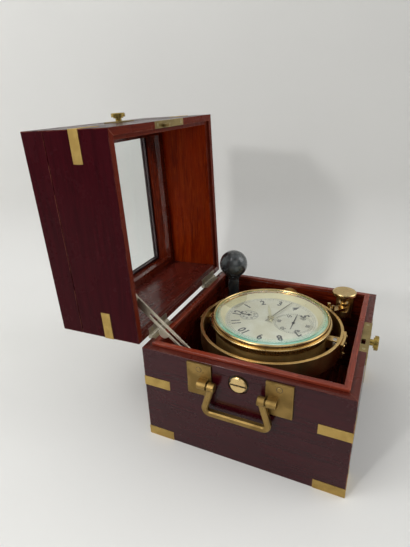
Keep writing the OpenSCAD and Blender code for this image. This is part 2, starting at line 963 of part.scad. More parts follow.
module bowl_shell() {
    color(BRASS)
        difference() {
            rotate_extrude($fn = 128)
                difference() {
                    bowl_section(bowl_r, bowl_z, bowl_top, bowl_round);
                    bowl_section(bowl_r - bowl_t, bowl_z + bowl_t, bowl_top + cut_over, bowl_round - bowl_t);
                }
            translate([fusee_at[0], fusee_at[1], bowl_z - cut_over])
                cylinder(h = bowl_t + 2 * cut_over, r = wind_hole_r);
        }
}

module bowl_trunnions() {
    block_w = 9;
    block_end = ring_in - 0.7;
    color(SILVER)
        for (turn = [90, 270])
            rotate([0, 0, turn])
                difference() {
                    union() {
                        translate([bowl_r - bowl_t, -block_w / 2, gimbal_z - block_w / 2])
                            cube([block_end - bowl_r + bowl_t, block_w, block_w]);
                        translate([block_end, 0, gimbal_z])
                            rotate([0, 90, 0])
                                cylinder(h = ring_r + bearing_t - block_end, r = pivot_r);
                    }
                    translate([0, 0, gimbal_z - block_w])
                        cylinder(h = 2 * block_w, r = bowl_r, $fn = 128);
                }
}

module bezel() {
    color(BRASS)
        rotate_extrude($fn = 128)
            polygon([
                [bezel_seat_r - 1.5, crystal_z - 4.6], [bowl_r - bowl_t, bowl_top],
                [bezel_r - 1.6, bowl_top], [bezel_r - 1.6, bezel_top - 8.2],
                [bezel_r - 0.4, bezel_top - 7.8], [bezel_r, bezel_top - 7.2],
                [bezel_r, bezel_top - 4.6], [bezel_r - 0.5, bezel_top - 4],
                [bezel_r - 1.8, bezel_top - 3.8], [bezel_r - 2, bezel_top - 2.6],
                [bezel_r - 3.2, bezel_top - 0.5], [bezel_r - 4, bezel_top],
                [crystal_r + slip_gap + 0.4, bezel_top], [crystal_r + slip_gap, bezel_top - 0.4],
                [crystal_r + slip_gap, crystal_z], [bezel_seat_r, crystal_z],
                [bezel_seat_r, crystal_z - 4.6]
            ]);
}

module crystal() {
    color(SILVER, 0.35)
        rotate_extrude($fn = 128)
            polygon([
                [0, crystal_z], [crystal_r, crystal_z], [crystal_r, crystal_z + crystal_t - 1],
                [crystal_r - 1, crystal_z + crystal_t], [0, crystal_z + crystal_t]
            ]);
}

module reflector_ring() {
    color(BRASS)
        rotate_extrude($fn = 128)
            polygon([
                [dial_open_r, dial_z], [bezel_seat_r - slip_gap, dial_z],
                [bezel_seat_r - slip_gap, crystal_z], [bezel_seat_r - 0.6, crystal_z]
            ]);
}

module dial_plate() {
    dial_r = bezel_seat_r - 1.8;
    color(SILVER)
        difference() {
            union() {
                translate([0, 0, dial_z - dial_t])
                    cylinder(h = dial_t, r = dial_r, $fn = 128);
                for (a = pillar_angles)
                    rotate([0, 0, a])
                        translate([pillar_at_r, 0, plate_top_z])
                            cylinder(h = dial_z - dial_t - plate_top_z + eps, r = 1.6, $fn = 32);
            }
            translate([0, 0, dial_z - dial_t - cut_over])
                cylinder(h = dial_t + 2 * cut_over, r = 2.7);
            for (at = [fourth_at, reserve_at]) {
                translate([at[0], at[1], dial_z - dial_t - cut_over])
                    cylinder(h = dial_t + 2 * cut_over, r = arbor_r + slip_gap);
                translate([at[0], at[1], dial_z - 0.2])
                    cylinder(h = cut_over, r = at[1] < 0 ? 17.5 : 10);
            }
        }
}

// Movement

// A toothed disc centred on its arbor; turn sets the angle of its first tooth
module toothed(teeth, size, h, turn) {
    pitch = 360 / teeth;
    pitch_r = size * teeth / 2;
    radii = [pitch_r - 1.25 * size, pitch_r + 0.85 * size, pitch_r + 0.85 * size, pitch_r - 1.25 * size];
    shares = [-0.26, -0.1, 0.1, 0.26];
    rotate([0, 0, turn])
        linear_extrude(h)
            polygon([for (i = [0 : teeth - 1], k = [0 : 3]) let (a = (i + shares[k]) * pitch)
                radii[k] * [cos(a), sin(a)]]);
}

// A crossed-out wheel with its pinion leaves, as it lies on an arbor
module crossed_wheel(teeth, size, turn) {
    rim_r = size * teeth / 2 - 1.25 * size - 1.2;
    hub_r = 2.2;
    arms = 5;
    difference() {
        toothed(teeth, size, wheel_t, turn);
        translate([0, 0, -cut_over])
            linear_extrude(wheel_t + 2 * cut_over)
                difference() {
                    circle(r = rim_r);
                    circle(r = hub_r);
                    for (i = [0 : arms - 1])
                        rotate([0, 0, i * 360 / arms])
                            translate([0, -0.7])
                                square([rim_r + 1, 1.4]);
                }
    }
}

module arbor(z, top) {
    translate([0, 0, z])
        cylinder(h = top - z, r = arbor_r, $fn = 32);
}

module arbor_bores(z, h, places) {
    for (at = places)
        translate([at[0], at[1], z - cut_over])
            cylinder(h = h + 2 * cut_over, r = arbor_r + run_gap, $fn = 32);
}

module pillar_plate() {
    color(BRASS)
        difference() {
            union() {
                translate([0, 0, pillar_plate_z])
                    cylinder(h = pillar_plate_t, r = plate_r, $fn = 128);
                for (a = pillar_angles)
                    rotate([0, 0, a])
                        translate([pillar_at_r, 0, top_plate_top])
                            cylinder(h = pillar_plate_z - top_plate_top + eps, r = pillar_r, $fn = 32);
                translate([minute_wheel_at[0], minute_wheel_at[1], pillar_plate_z])
                    cylinder(h = pillar_plate_t + 3, r = arbor_r, $fn = 32);
            }
            arbor_bores(pillar_plate_z, pillar_plate_t,
                [[0, 0], fourth_at, third_at, escape_at, balance_at, fusee_at, barrel_at]);
            arbor_bores(pillar_plate_z + pillar_plate_t - 1, 1, [reserve_at]);
        }
}

module top_plate() {
    cock_z = balance_z - spring_h - 5;
    foot_at = balance_at + (balance_r + 6) * [cos(-15), sin(-15)];
    color(BRASS)
        difference() {
            union() {
                translate([0, 0, top_plate_z])
                    cylinder(h = top_plate_t, r = plate_r - 1, $fn = 128);
                translate([foot_at[0], foot_at[1], cock_z])
                    cylinder(h = top_plate_z - cock_z + eps, r = 4, $fn = 32);
                translate([foot_at[0], foot_at[1], cock_z])
                    rotate([0, 0, 165])
                        translate([0, -3.5, 0])
                            cube([balance_r + 6, 7, 2]);
                translate([balance_at[0], balance_at[1], cock_z])
                    cylinder(h = 2, r = 5, $fn = 32);
            }
            arbor_bores(top_plate_z, top_plate_t, [[0, 0], fourth_at, third_at, escape_at, barrel_at]);
            arbor_bores(cock_z + 1, 1, [balance_at]);
            translate([balance_at[0], balance_at[1], top_plate_z - cut_over])
                cylinder(h = top_plate_t + 2 * cut_over, r = 2);
            translate([fusee_at[0], fusee_at[1], top_plate_z - cut_over])
                cylinder(h = top_plate_t + 2 * cut_over, r = 3.2);
        }
}

// One turn of a helical tube is a ring of sections joined by quads
module helix(r, wire_r, turns, h) {
    per_turn = 18;
    sides = 6;
    count = turns * per_turn;
    points = [for (i = [0 : count], k = [0 : sides - 1])
        let (a = i * 360 / per_turn, b = k * 360 / sides)
        [(r + wire_r * cos(b)) * cos(a), (r + wire_r * cos(b)) * sin(a), h * i / count + wire_r * sin(b)]];
    quads = [for (i = [0 : count - 1], k = [0 : sides - 1])
        let (next = (k + 1) % sides)
        [i * sides + k, (i + 1) * sides + k, (i + 1) * sides + next, i * sides + next]];
    ends = [
        [for (k = [0 : sides - 1]) k],
        [for (k = [0 : sides - 1]) count * sides + sides - 1 - k]
    ];
    polyhedron(points = points, faces = concat(quads, ends), convexity = 8);
}

module balance_spring() {
    coil_r = 4.4;
    wire_r = 0.3;
    color(STEEL)
        translate([balance_at[0], balance_at[1], balance_z - spring_h - 3 + wire_r])
            helix(coil_r, wire_r, 7, spring_h);
}

module balance_wheel() {
    rim_w_balance = 1.6;
    rim_h = 3;
    color(BRASS)
        translate([balance_at[0], balance_at[1], 0]) {
            translate([0, 0, balance_z])
                difference() {
                    cylinder(h = rim_h, r = balance_r);
                    translate([0, 0, -cut_over])
                        cylinder(h = rim_h + 2 * cut_over, r = balance_r - rim_w_balance);
                }
            translate([-balance_r + 1, -1.1, balance_z])
                cube([2 * balance_r - 2, 2.2, 1.4]);
            for (turn = [0, 180])
                rotate([0, 0, turn])
                    translate([0, balance_r - 0.4, balance_z + rim_h / 2])
                        rotate([-90, 0, 0])
                            cylinder(h = 1.8, r = 1.1, $fn = 32);
            arbor(balance_z - spring_h - 4.4, pillar_plate_z + 1);
            translate([0, 0, escape_z])
                cylinder(h = 1.2, r = roller_r, $fn = 32);
        }
}

module centre_wheel() {
    color(BRASS) {
        translate([0, 0, centre_z])
            crossed_wheel(centre_teeth, module_mid, 0);
        translate([0, 0, great_z - 0.6])
            toothed(centre_pinion_teeth, module_large, centre_z - great_z + 0.6 + eps, 45 + 180 / centre_pinion_teeth);
        arbor(top_plate_z, minute_hand_z);
    }
}

module third_wheel() {
    mesh = atan2(third_at[1], third_at[0]);
    to_fourth = atan2(fourth_at[1] - third_at[1], fourth_at[0] - third_at[0]);
    color(BRASS)
        translate([third_at[0], third_at[1], 0]) {
            translate([0, 0, third_z])
                crossed_wheel(third_teeth, module_mid, to_fourth);
            translate([0, 0, third_z])
                toothed(third_pinion_teeth, module_mid, centre_z - third_z + wheel_t,
                    mesh_turn(0, centre_teeth, mesh, third_pinion_teeth));
            arbor(top_plate_z, pillar_plate_z + pillar_plate_t);
        }
}

// Turn of a follower whose tooth gap meets a driver's tooth on their centre line
function mesh_turn(driver_turn, driver_teeth, line, follower_teeth) =
    let (offset = (line - driver_turn) * driver_teeth / 360)
    line + 180 + (0.5 + offset) * 360 / follower_teeth;

module fourth_wheel() {
    to_fourth = atan2(fourth_at[1] - third_at[1], fourth_at[0] - third_at[0]);
    line = atan2(escape_at[1] - fourth_at[1], escape_at[0] - fourth_at[0]);
    color(BRASS)
        translate([fourth_at[0], fourth_at[1], 0]) {
            translate([0, 0, fourth_z])
                crossed_wheel(fourth_teeth, module_small, line);
            translate([0, 0, fourth_z])
                toothed(fourth_pinion_teeth, module_mid, third_z - fourth_z + wheel_t,
                    mesh_turn(to_fourth, third_teeth, to_fourth, fourth_pinion_teeth));
            arbor(top_plate_z, small_hand_z);
        }
}

module escape_wheel() {
    line = atan2(escape_at[1] - fourth_at[1], escape_at[0] - fourth_at[0]);
    tooth_reach = 1.8;
    color(BRASS)
        translate([escape_at[0], escape_at[1], 0]) {
            translate([0, 0, escape_z])
                linear_extrude(wheel_t)
                    polygon([for (i = [0 : escape_teeth - 1], k = [0 : 1])
                        let (a = (i + 0.5 * k) * 360 / escape_teeth, r = escape_r - tooth_reach * k)
                        r * [cos(a), sin(a)]]);
            translate([0, 0, escape_z])
                toothed(escape_pinion_teeth, module_small, fourth_z - escape_z + wheel_t,
                    mesh_turn(line, fourth_teeth, line, escape_pinion_teeth));
            arbor(top_plate_z, pillar_plate_z + pillar_plate_t);
        }
}

// The fusee's grooved cone, its great wheel and the squared winding arbor
module fusee() {
    grooves = 7;
    turn_h = fusee_h / grooves;
    color(BRASS)
        translate([fusee_at[0], fusee_at[1], 0]) {
            translate([0, 0, great_z])
                toothed(great_teeth, module_large, wheel_t, 225);
            translate([0, 0, great_z - fusee_h])
                rotate_extrude()
                    polygon(concat(
                        [[0, 0]],
                        [for (i = [0 : grooves - 1], k = [0 : 2])
                            let (z = (i + k / 3) * turn_h, share = z / fusee_h,
                                r = fusee_tip_r + (fusee_r - fusee_tip_r) * share * share)
                            [k == 1 ? r - 0.8 : r, z]],
                        [[fusee_r, fusee_h], [0, fusee_h]]
                    ));
            translate([0, 0, top_plate_z - 2])
                cylinder(h = great_z - fusee_h - top_plate_z + 2 + eps, r = 3.15, $fn = 32);
            arbor(great_z, pillar_plate_z + pillar_plate_t);
            translate([-square_w / 2, -square_w / 2, bowl_z + bowl_t + 3])
                cube([square_w, square_w, top_plate_z - bowl_z - bowl_t - 5]);
        }
}

module mainspring_barrel() {
    barrel_top = great_z + 1;
    barrel_h = barrel_top - top_plate_top - 1.2;
    color(BRASS)
        translate([barrel_at[0], barrel_at[1], 0]) {
            translate([0, 0, barrel_top - barrel_h])
                cylinder(h = barrel_h, r = barrel_r - 0.8);
            for (z = [barrel_top - barrel_h, barrel_top - wheel_t])
                translate([0, 0, z])
                    cylinder(h = wheel_t, r = barrel_r);
            arbor(top_plate_z, pillar_plate_z + pillar_plate_t);
        }
}

// Motion work and hands

// A tapered hand from its boss to its tip, lying along +x
module hand_outline(length, tail, wide, tip) {
    polygon([
        [-tail, -wide / 3], [0, -wide / 2], [length * 0.72, -wide / 2],
        [length, -tip / 2], [length, tip / 2],
        [length * 0.72, wide / 2], [0, wide / 2], [-tail, wide / 3]
    ]);
}

module minute_hand() {
    cannon_r = 1.6;
    color(STEEL)
        difference() {
            union() {
                translate([0, 0, plate_top_z + 0.3])
                    toothed(cannon_teeth, module_large, 1.2, 0);
                translate([0, 0, plate_top_z + 0.3])
                    cylinder(h = minute_hand_z + hand_t + 0.4 - plate_top_z - 0.3, r = cannon_r, $fn = 32);
                translate([0, 0, minute_hand_z])
                    rotate([0, 0, minute_angle])
                        linear_extrude(hand_t) {
                            circle(r = 2.4);
                            hand_outline(41, 9, 1.4, 0.4);
                        }
            }
            translate([0, 0, plate_top_z - cut_over])
                cylinder(h = minute_hand_z - plate_top_z + cut_over + slip_gap, r = arbor_r + run_gap, $fn = 32);
        }
}

module minute_wheel() {
    pinion_z = plate_top_z + 1.6;
    color(BRASS)
        translate([minute_wheel_at[0], minute_wheel_at[1], 0])
            difference() {
                union() {
                    translate([0, 0, plate_top_z + 0.3])
                        toothed(minute_teeth, module_large, 1.2,
                            mesh_turn(0, cannon_teeth, 0, minute_teeth));
                    translate([0, 0, plate_top_z + 0.3])
                        toothed(minute_pinion_teeth, module_large, 2.6, 180);
                }
                translate([0, 0, plate_top_z - cut_over])
                    cylinder(h = pinion_z - plate_top_z + 3, r = arbor_r + run_gap, $fn = 32);
            }
}

module hour_hand() {
    pipe_r = 2.4;
    wheel_z = plate_top_z + 1.8;
    color(BRASS)
        difference() {
            union() {
                translate([0, 0, wheel_z])
                    toothed(hour_teeth, module_large, 1, 180 / hour_teeth);
                translate([0, 0, wheel_z])
                    cylinder(h = hour_hand_z + hand_t - wheel_z, r = pipe_r, $fn = 32);
                translate([0, 0, hour_hand_z])
                    rotate([0, 0, hour_angle])
                        linear_extrude(hand_t) {
                            circle(r = 3.2);
                            hand_outline(27, 7, 3, 0.8);
                        }
            }
            translate([0, 0, wheel_z - cut_over])
                cylinder(h = hour_hand_z - wheel_z + 2 * cut_over, r = 1.6 + slip_gap, $fn = 32);
        }
}

// A small hand on a pipe that grips its arbor's end
module small_hand(length, tail, turn) {
    translate([0, 0, small_hand_z])
        rotate([0, 0, turn])
            linear_extrude(hand_t) {
                circle(r = 1.5);
                hand_outline(length, tail, 0.9, 0.3);
            }
}

module seconds_hand() {
    color(STEEL)
        translate([fourth_at[0], fourth_at[1], 0])
            small_hand(17, 6, seconds_angle);
}

module reserve_hand() {
    color(STEEL)
        translate([reserve_at[0], reserve_at[1], 0]) {
            small_hand(8.6, 3, reserve_angle);
            arbor(plate_top_z - 0.9, small_hand_z + eps);
        }
}

module winding_shutter() {
    rivet_gap = shutter_r + 4;
    rivet_at = [fusee_at[0] - rivet_gap * cos(45), fusee_at[1] - rivet_gap * sin(45)];
    color(BRASS)
        translate([0, 0, bowl_z - slip_gap - shutter_t]) {
            translate([fusee_at[0], fusee_at[1], 0])
                cylinder(h = shutter_t, r = shutter_r);
            translate([rivet_at[0], rivet_at[1], 0])
                cylinder(h = shutter_t, r = 4);
            translate([rivet_at[0], rivet_at[1], 0])
                rotate([0, 0, 45])
                    translate([0, -3, 0])
                        cube([rivet_gap, 6, shutter_t]);
        }
}

base_front_board();
base_back_board();
base_left_board();
base_right_board();
base_bottom_board();
base_rim_lip();
base_corner_straps();
base_hinge_leaves();
handle_plates();
gimbal_pivot_screws();
gimbal_flanges();
lock_plate();
gimbal_lock_bracket();
key_holder();
stay_stud();
handle_bail_left();
handle_bail_right();
lock_button();
gimbal_lock_knob();
winding_key_grip();
winding_key_shank();
stay_arm();
tier_front_board();
tier_back_board();
tier_left_board();
tier_right_board();
tier_inner_frame();
tier_corner_straps();
tier_hinge_leaves();
tier_lock_plates();
lid_latch_button();
stay_bracket();
lid_rails();
lid_pane();
lid_beads();
lid_hinge_leaves();
gimbal_ring();
ring_bearing_plates();
bowl_shell();
bowl_trunnions();
bezel();
crystal();
reflector_ring();
dial_plate();
pillar_plate();
top_plate();
balance_spring();
minute_hand();
minute_wheel();
hour_hand();
seconds_hand();
fourth_wheel();
third_wheel();
centre_wheel();
escape_wheel();
balance_wheel();
fusee();
mainspring_barrel();
reserve_hand();
winding_shutter();
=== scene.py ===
"""Looks of a boxed marine chronometer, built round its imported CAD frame.

Sizes are in millimetres and turned into metres where a mesh is made. The frame is
the part's own: +Z up, -Y the lock side, +Y the hinge side, with the case open.
"""

from __future__ import annotations

import enum
import logging
import math
from collections.abc import Callable, Sequence
from dataclasses import dataclass

import bmesh
import bpy
from mathutils import Matrix, Vector


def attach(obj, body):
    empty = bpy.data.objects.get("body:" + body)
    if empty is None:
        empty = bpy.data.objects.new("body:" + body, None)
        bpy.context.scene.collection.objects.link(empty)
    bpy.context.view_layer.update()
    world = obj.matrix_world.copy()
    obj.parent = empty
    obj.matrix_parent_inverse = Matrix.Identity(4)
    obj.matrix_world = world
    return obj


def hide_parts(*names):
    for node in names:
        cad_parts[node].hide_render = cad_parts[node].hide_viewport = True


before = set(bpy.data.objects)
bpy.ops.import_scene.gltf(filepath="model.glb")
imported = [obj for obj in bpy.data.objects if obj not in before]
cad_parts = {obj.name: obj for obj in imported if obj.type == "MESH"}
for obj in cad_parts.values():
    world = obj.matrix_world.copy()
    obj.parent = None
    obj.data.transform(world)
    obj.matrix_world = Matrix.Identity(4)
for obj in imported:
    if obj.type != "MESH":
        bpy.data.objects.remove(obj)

LOG = logging.getLogger("chronometer")
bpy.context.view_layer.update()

Colour = tuple[float, float, float, float]
Profile = Sequence[tuple[float, float]]
Point = tuple[float, float, float]

MM = 0.001
WELD = 0.002
OPEN_ANGLE = math.radians(92)
HINGE_Y = 97.1
HINGE_Z = 103.25
HALF_CASE = 95.0
GIMBAL_Z = 89.0


def srgb(red: float, green: float, blue: float) -> Colour:
    """Turns a colour as the eye names it, 0 to 255, into the shader's linear one.

    Args:
        red: Red, 0 to 255.
        green: Green, 0 to 255.
        blue: Blue, 0 to 255.

    Returns:
        The linear colour with full alpha.
    """
    parts = [c / 255 for c in (red, green, blue)]
    linear = [c / 12.92 if c <= 0.04045 else ((c + 0.055) / 1.055) ** 2.4 for c in parts]
    return (linear[0], linear[1], linear[2], 1.0)


def opened(x: float, y: float, z: float) -> Vector:
    """Carries a point of the closed upper case to its open place, in millimetres.

    Args:
        x: Place across the case.
        y: Place from the lock side to the hinge side.
        z: Height above the floor with the case closed.

    Returns:
        The point as the case stands open.
    """
    turn = Matrix.Rotation(-OPEN_ANGLE, 3, "X")
    hinge = Vector((0, HINGE_Y, HINGE_Z))
    return hinge + turn @ (Vector((x, y, z)) - hinge)


class Grain(enum.Enum):
    """How a board's grain runs at rest."""

    ALONG_X = (1.0, 14.0, 14.0)
    ALONG_Y = (14.0, 1.0, 14.0)
    ALONG_Z = (14.0, 14.0, 1.0)


class Tier(enum.Enum):
    """The tier that a board belongs to."""

    BASE = "base"
    UPPER = "upper"


class Graph:
    """A node tree with short ways to add and join nodes."""

    def __init__(self, tree: bpy.types.NodeTree) -> None:
        """Keeps the tree that the nodes go into."""
        self.tree = tree

    def add(self, kind: str, inputs: dict | None = None, **settings: object) -> bpy.types.Node:
        """Adds a node.

        Args:
            kind: The node's type name.
            inputs: Socket name or index to a value or to another node's output.
            **settings: Properties of the node itself.

        Returns:
            The new node.
        """
        node = self.tree.nodes.new(kind)
        for name, value in settings.items():
            setattr(node, name, value)
        for key, value in (inputs or {}).items():
            if isinstance(value, bpy.types.NodeSocket):
                self.tree.links.new(value, node.inputs[key])
            else:
                node.inputs[key].default_value = value
        return node

    def math(self, operation: str, *values: object, clamp: bool = False) -> bpy.types.NodeSocket:
        """Adds a Math node and returns its output."""
        inputs = dict(enumerate(values))
        return self.add("ShaderNodeMath", inputs, operation=operation, use_clamp=clamp).outputs[0]

    def remap(
        self, value: object, low: object, high: object, start: float = 0.0, end: float = 1.0
    ) -> bpy.types.NodeSocket:
        """Maps low..high to start..end, with the ends held."""
        inputs = {0: value, 1: low, 2: high, 3: start, 4: end}
        return self.add("ShaderNodeMapRange", inputs, interpolation_type="SMOOTHSTEP").outputs[0]

    def blend(self, share: object, first: object, second: object) -> bpy.types.NodeSocket:
        """Mixes two colours and returns the result."""
        inputs = {0: share, 6: first, 7: second}
        return self.add("ShaderNodeMix", inputs, data_type="RGBA").outputs[2]

    def noise(
        self, vector: object, scale: object, detail: float = 4.0, distortion: float = 0.0
    ) -> bpy.types.NodeSocket:
        """Adds a noise texture and returns its value, about 0.3 to 0.7."""
        inputs = {"Vector": vector, "Scale": scale, "Detail": detail, "Distortion": distortion}
        return self.add("ShaderNodeTexNoise", inputs).outputs["Fac"]

    def dot(self, vector: object, direction: Sequence[float]) -> bpy.types.NodeSocket:
        """Returns a vector's length along a fixed direction."""
        node = self.add("ShaderNodeVectorMath", {0: vector, 1: direction}, operation="DOT_PRODUCT")
        return node.outputs["Value"]


def shader_group(
    name: str,
    inputs: Sequence[tuple[str, str, object]],
    outputs: Sequence[tuple[str, str]],
    wire: Callable[[Graph, Sequence[bpy.types.NodeSocket]], Sequence[bpy.types.NodeSocket]],
) -> bpy.types.NodeTree:
    """Builds a shared effect once.

    Args:
        name: The group's name.
        inputs: Name, socket kind and default value of each input.
        outputs: Name and socket kind of each output.
        wire: Adds the nodes; it takes the inputs and returns the outputs.

    Returns:
        The node group.
    """
    known = bpy.data.node_groups.get(name)
    if known:
        return known
    tree = bpy.data.node_groups.new(name, "ShaderNodeTree")
    for label, kind, value in inputs:
        socket = tree.interface.new_socket(label, in_out="INPUT", socket_type=kind)
        if value is not None:
            socket.default_value = value
    for label, kind in outputs:
        tree.interface.new_socket(label, in_out="OUTPUT", socket_type=kind)
    graph = Graph(tree)
    entry = graph.add("NodeGroupInput")
    leave = graph.add("NodeGroupOutput")
    for index, socket in enumerate(wire(graph, list(entry.outputs))):
        tree.links.new(socket, leave.inputs[index])
    return tree


FLOAT = "NodeSocketFloat"
VECTOR = "NodeSocketVector"
COLOUR = "NodeSocketColor"


def edge_wear_and_glint_group() -> bpy.types.NodeTree:
    """A mask of the arrises, broken up by noise: wear from handling, and in the aged brass a painted
    highlight.

    Returns:
        The node group.
    """

    def wire(g: Graph, ins: Sequence[bpy.types.NodeSocket]) -> Sequence[bpy.types.NodeSocket]:
        """Compares the rounded normal with the true one.

        Args:
            g: The group's graph.
            ins: The sockets for vector, radius and amount.

        Returns:
            The sockets for the mask.
        """
        vector, radius, amount = ins[:3]
        rounded = g.add("ShaderNodeBevel", {"Radius": radius}, samples=6).outputs[0]
        true_normal = g.add("ShaderNodeNewGeometry").outputs["Normal"]
        along = g.add("ShaderNodeVectorMath", {0: rounded, 1: true_normal}, operation="DOT_PRODUCT")
        turned = g.remap(along.outputs["Value"], 0.995, 0.90)
        patchy = g.remap(g.noise(vector, 90.0, 5.0), 0.36, 0.62)
        return [g.math("MULTIPLY", g.math("MULTIPLY", turned, patchy), amount, clamp=True)]

    return shader_group(
        "Edge wear and glint",
        [("Vector", VECTOR, None), ("Radius", FLOAT, 0.0008), ("Amount", FLOAT, 0.5)],
        [("Mask", FLOAT)],
        wire,
    )


def wood_grain_group() -> bpy.types.NodeTree:
    """Straight-grained hardwood: wide figure, fine streaks and pores.

    Returns:
        The node group.
    """

    def wire(g: Graph, ins: Sequence[bpy.types.NodeSocket]) -> Sequence[bpy.types.NodeSocket]:
        """Lays streaks over the figure and pores over both.

        Args:
            g: The group's graph.
            ins: The sockets for vector and three colours.

        Returns:
            The sockets for colour, height and pores.
        """
        vector, dark, mid, light = ins[:4]
        figure = g.noise(vector, 9.0, 3.0, 0.8)
        streaks = g.noise(vector, 38.0, 6.0, 1.1)
        pores = g.noise(vector, 150.0, 3.0, 0.3)
        base = g.blend(g.remap(figure, 0.3, 0.7), dark, mid)
        streaked = g.blend(g.remap(streaks, 0.42, 0.72), base, light)
        pore_mask = g.remap(pores, 0.56, 0.70)
        shown = g.blend(g.math("MULTIPLY", pore_mask, 0.55), streaked, dark)
        height = g.math("SUBTRACT", g.math("MULTIPLY", streaks, 0.4), pore_mask)
        return [shown, height, pore_mask]

    return shader_group(
        "Wood grain",
        [("Vector", VECTOR, None), ("Dark", COLOUR, None), ("Mid", COLOUR, None), ("Light", COLOUR, None)],
        [("Color", COLOUR), ("Height", FLOAT), ("Pores", FLOAT)],
        wire,
    )


def smudge_group() -> bpy.types.NodeTree:
    """Uneven gloss from handling and cleaning, as a roughness.

    Returns:
        The node group.
    """

    def wire(g: Graph, ins: Sequence[bpy.types.NodeSocket]) -> Sequence[bpy.types.NodeSocket]:
        """Adds cloudy and fine spread to the base.

        Args:
            g: The group's graph.
            ins: The sockets for vector, base and spread.

        Returns:
            The sockets for the roughness.
        """
        vector, base, spread = ins[:3]
        cloudy = g.remap(g.noise(vector, 26.0, 5.0, 0.5), 0.34, 0.68)
        fine = g.remap(g.noise(vector, 320.0, 2.0), 0.3, 0.7, 0.0, 0.35)
        share = g.math("ADD", cloudy, fine)
        return [g.math("MULTIPLY_ADD", share, spread, base, clamp=True)]

    return shader_group(
        "Smudges",
        [("Vector", VECTOR, None), ("Base", FLOAT, 0.1), ("Spread", FLOAT, 0.1)],
        [("Roughness", FLOAT)],
        wire,
    )


def patina_group() -> bpy.types.NodeTree:
    """Brass colour with cloudy tarnish, small dark spots and fine scratches.

    Returns:
        The node group.
    """

    def wire(g: Graph, ins: Sequence[bpy.types.NodeSocket]) -> Sequence[bpy.types.NodeSocket]:
        """Mixes the two colours by clouds and spots.

        Args:
            g: The group's graph.
            ins: The sockets for vector, two colours and amount.

        Returns:
            The sockets for colour, mask and height.
        """
        vector, bright, tarnish, amount = ins[:4]
        cloud = g.remap(g.noise(vector, 60.0, 6.0, 0.4), 0.38, 0.66)
        spots = g.remap(g.noise(vector, 420.0, 2.0), 0.62, 0.74)
        stretch = g.add("ShaderNodeMapping", {"Vector": vector, "Scale": (900.0, 60.0, 900.0)})
        lines = g.remap(g.noise(stretch.outputs[0], 1.0, 2.0), 0.5, 0.75)
        share = g.math("MULTIPLY", g.math("MAXIMUM", cloud, spots), amount, clamp=True)
        shown = g.blend(share, bright, tarnish)
        height = g.math("ADD", g.math("MULTIPLY", cloud, 0.3), g.math("MULTIPLY", lines, 0.2))
        return [shown, share, height]

    return shader_group(
        "Brass patina",
        [("Vector", VECTOR, None), ("Bright", COLOUR, None), ("Tarnish", COLOUR, None),
         ("Amount", FLOAT, 0.3)],
        [("Color", COLOUR), ("Mask", FLOAT), ("Height", FLOAT)],
        wire,
    )


def turned_lines_group() -> bpy.types.NodeTree:
    """Fine concentric tool lines about a vertical axis, as a height.

    Returns:
        The node group.
    """

    def wire(g: Graph, ins: Sequence[bpy.types.NodeSocket]) -> Sequence[bpy.types.NodeSocket]:
        """Makes rings of the distance from the axis.

        Args:
            g: The group's graph.
            ins: The sockets for vector, centre and pitch.

        Returns:
            The sockets for height and radius.
        """
        vector, centre, pitch = ins[:3]
        offset = g.add("ShaderNodeVectorMath", {0: vector, 1: centre}, operation="SUBTRACT").outputs[0]
        flat = g.add("ShaderNodeVectorMath", {0: offset, 1: (1.0, 1.0, 0.0)}, operation="MULTIPLY")
        reach = g.add("ShaderNodeVectorMath", {0: flat.outputs[0]}, operation="LENGTH").outputs["Value"]
        rings = g.math("SINE", g.math("DIVIDE", reach, pitch))
        return [rings, reach]

    return shader_group(
        "Turned lines",
        [("Vector", VECTOR, None), ("Centre", VECTOR, None), ("Pitch", FLOAT, 0.0001)],
        [("Height", FLOAT), ("Radius", FLOAT)],
        wire,
    )


def new_material(name: str) -> tuple[bpy.types.Material, Graph, bpy.types.Node, bpy.types.NodeSocket]:
    """Starts a material.

    Args:
        name: The finish's name.

    Returns:
        The material, its graph, its Principled node and the object coordinates.
    """
    material = bpy.data.materials.new(name)
    material.use_nodes = True
    material.node_tree.nodes.clear()
    graph = Graph(material.node_tree)
    surface = graph.add("ShaderNodeBsdfPrincipled")
    output = graph.add("ShaderNodeOutputMaterial")
    graph.tree.links.new(surface.outputs[0], output.inputs["Surface"])
    place = graph.add("ShaderNodeTexCoord").outputs["Object"]
    return material, graph, surface, place


def placed(graph: Graph, group: bpy.types.NodeTree, inputs: dict) -> bpy.types.Node:
    """Puts a shared effect into a material.

    Args:
        graph: The material's graph.
        group: The shared effect.
        inputs: Socket name to a value or to another node's output.

    Returns:
        The group's node.
    """
    node = graph.add("ShaderNodeGroup", node_tree=group)
    for key, value in inputs.items():
        if isinstance(value, bpy.types.NodeSocket):
            graph.tree.links.new(value, node.inputs[key])
        else:
            node.inputs[key].default_value = value
    return node


def bumped(graph: Graph, surface: bpy.types.Node, height: object, depth: float) -> None:
    """Feeds a height into the surface's normal, with its depth in metres."""
    bump = graph.add("ShaderNodeBump", {"Height": height, "Distance": depth, "Strength": 1.0})
    graph.tree.links.new(bump.outputs[0], surface.inputs["Normal"])


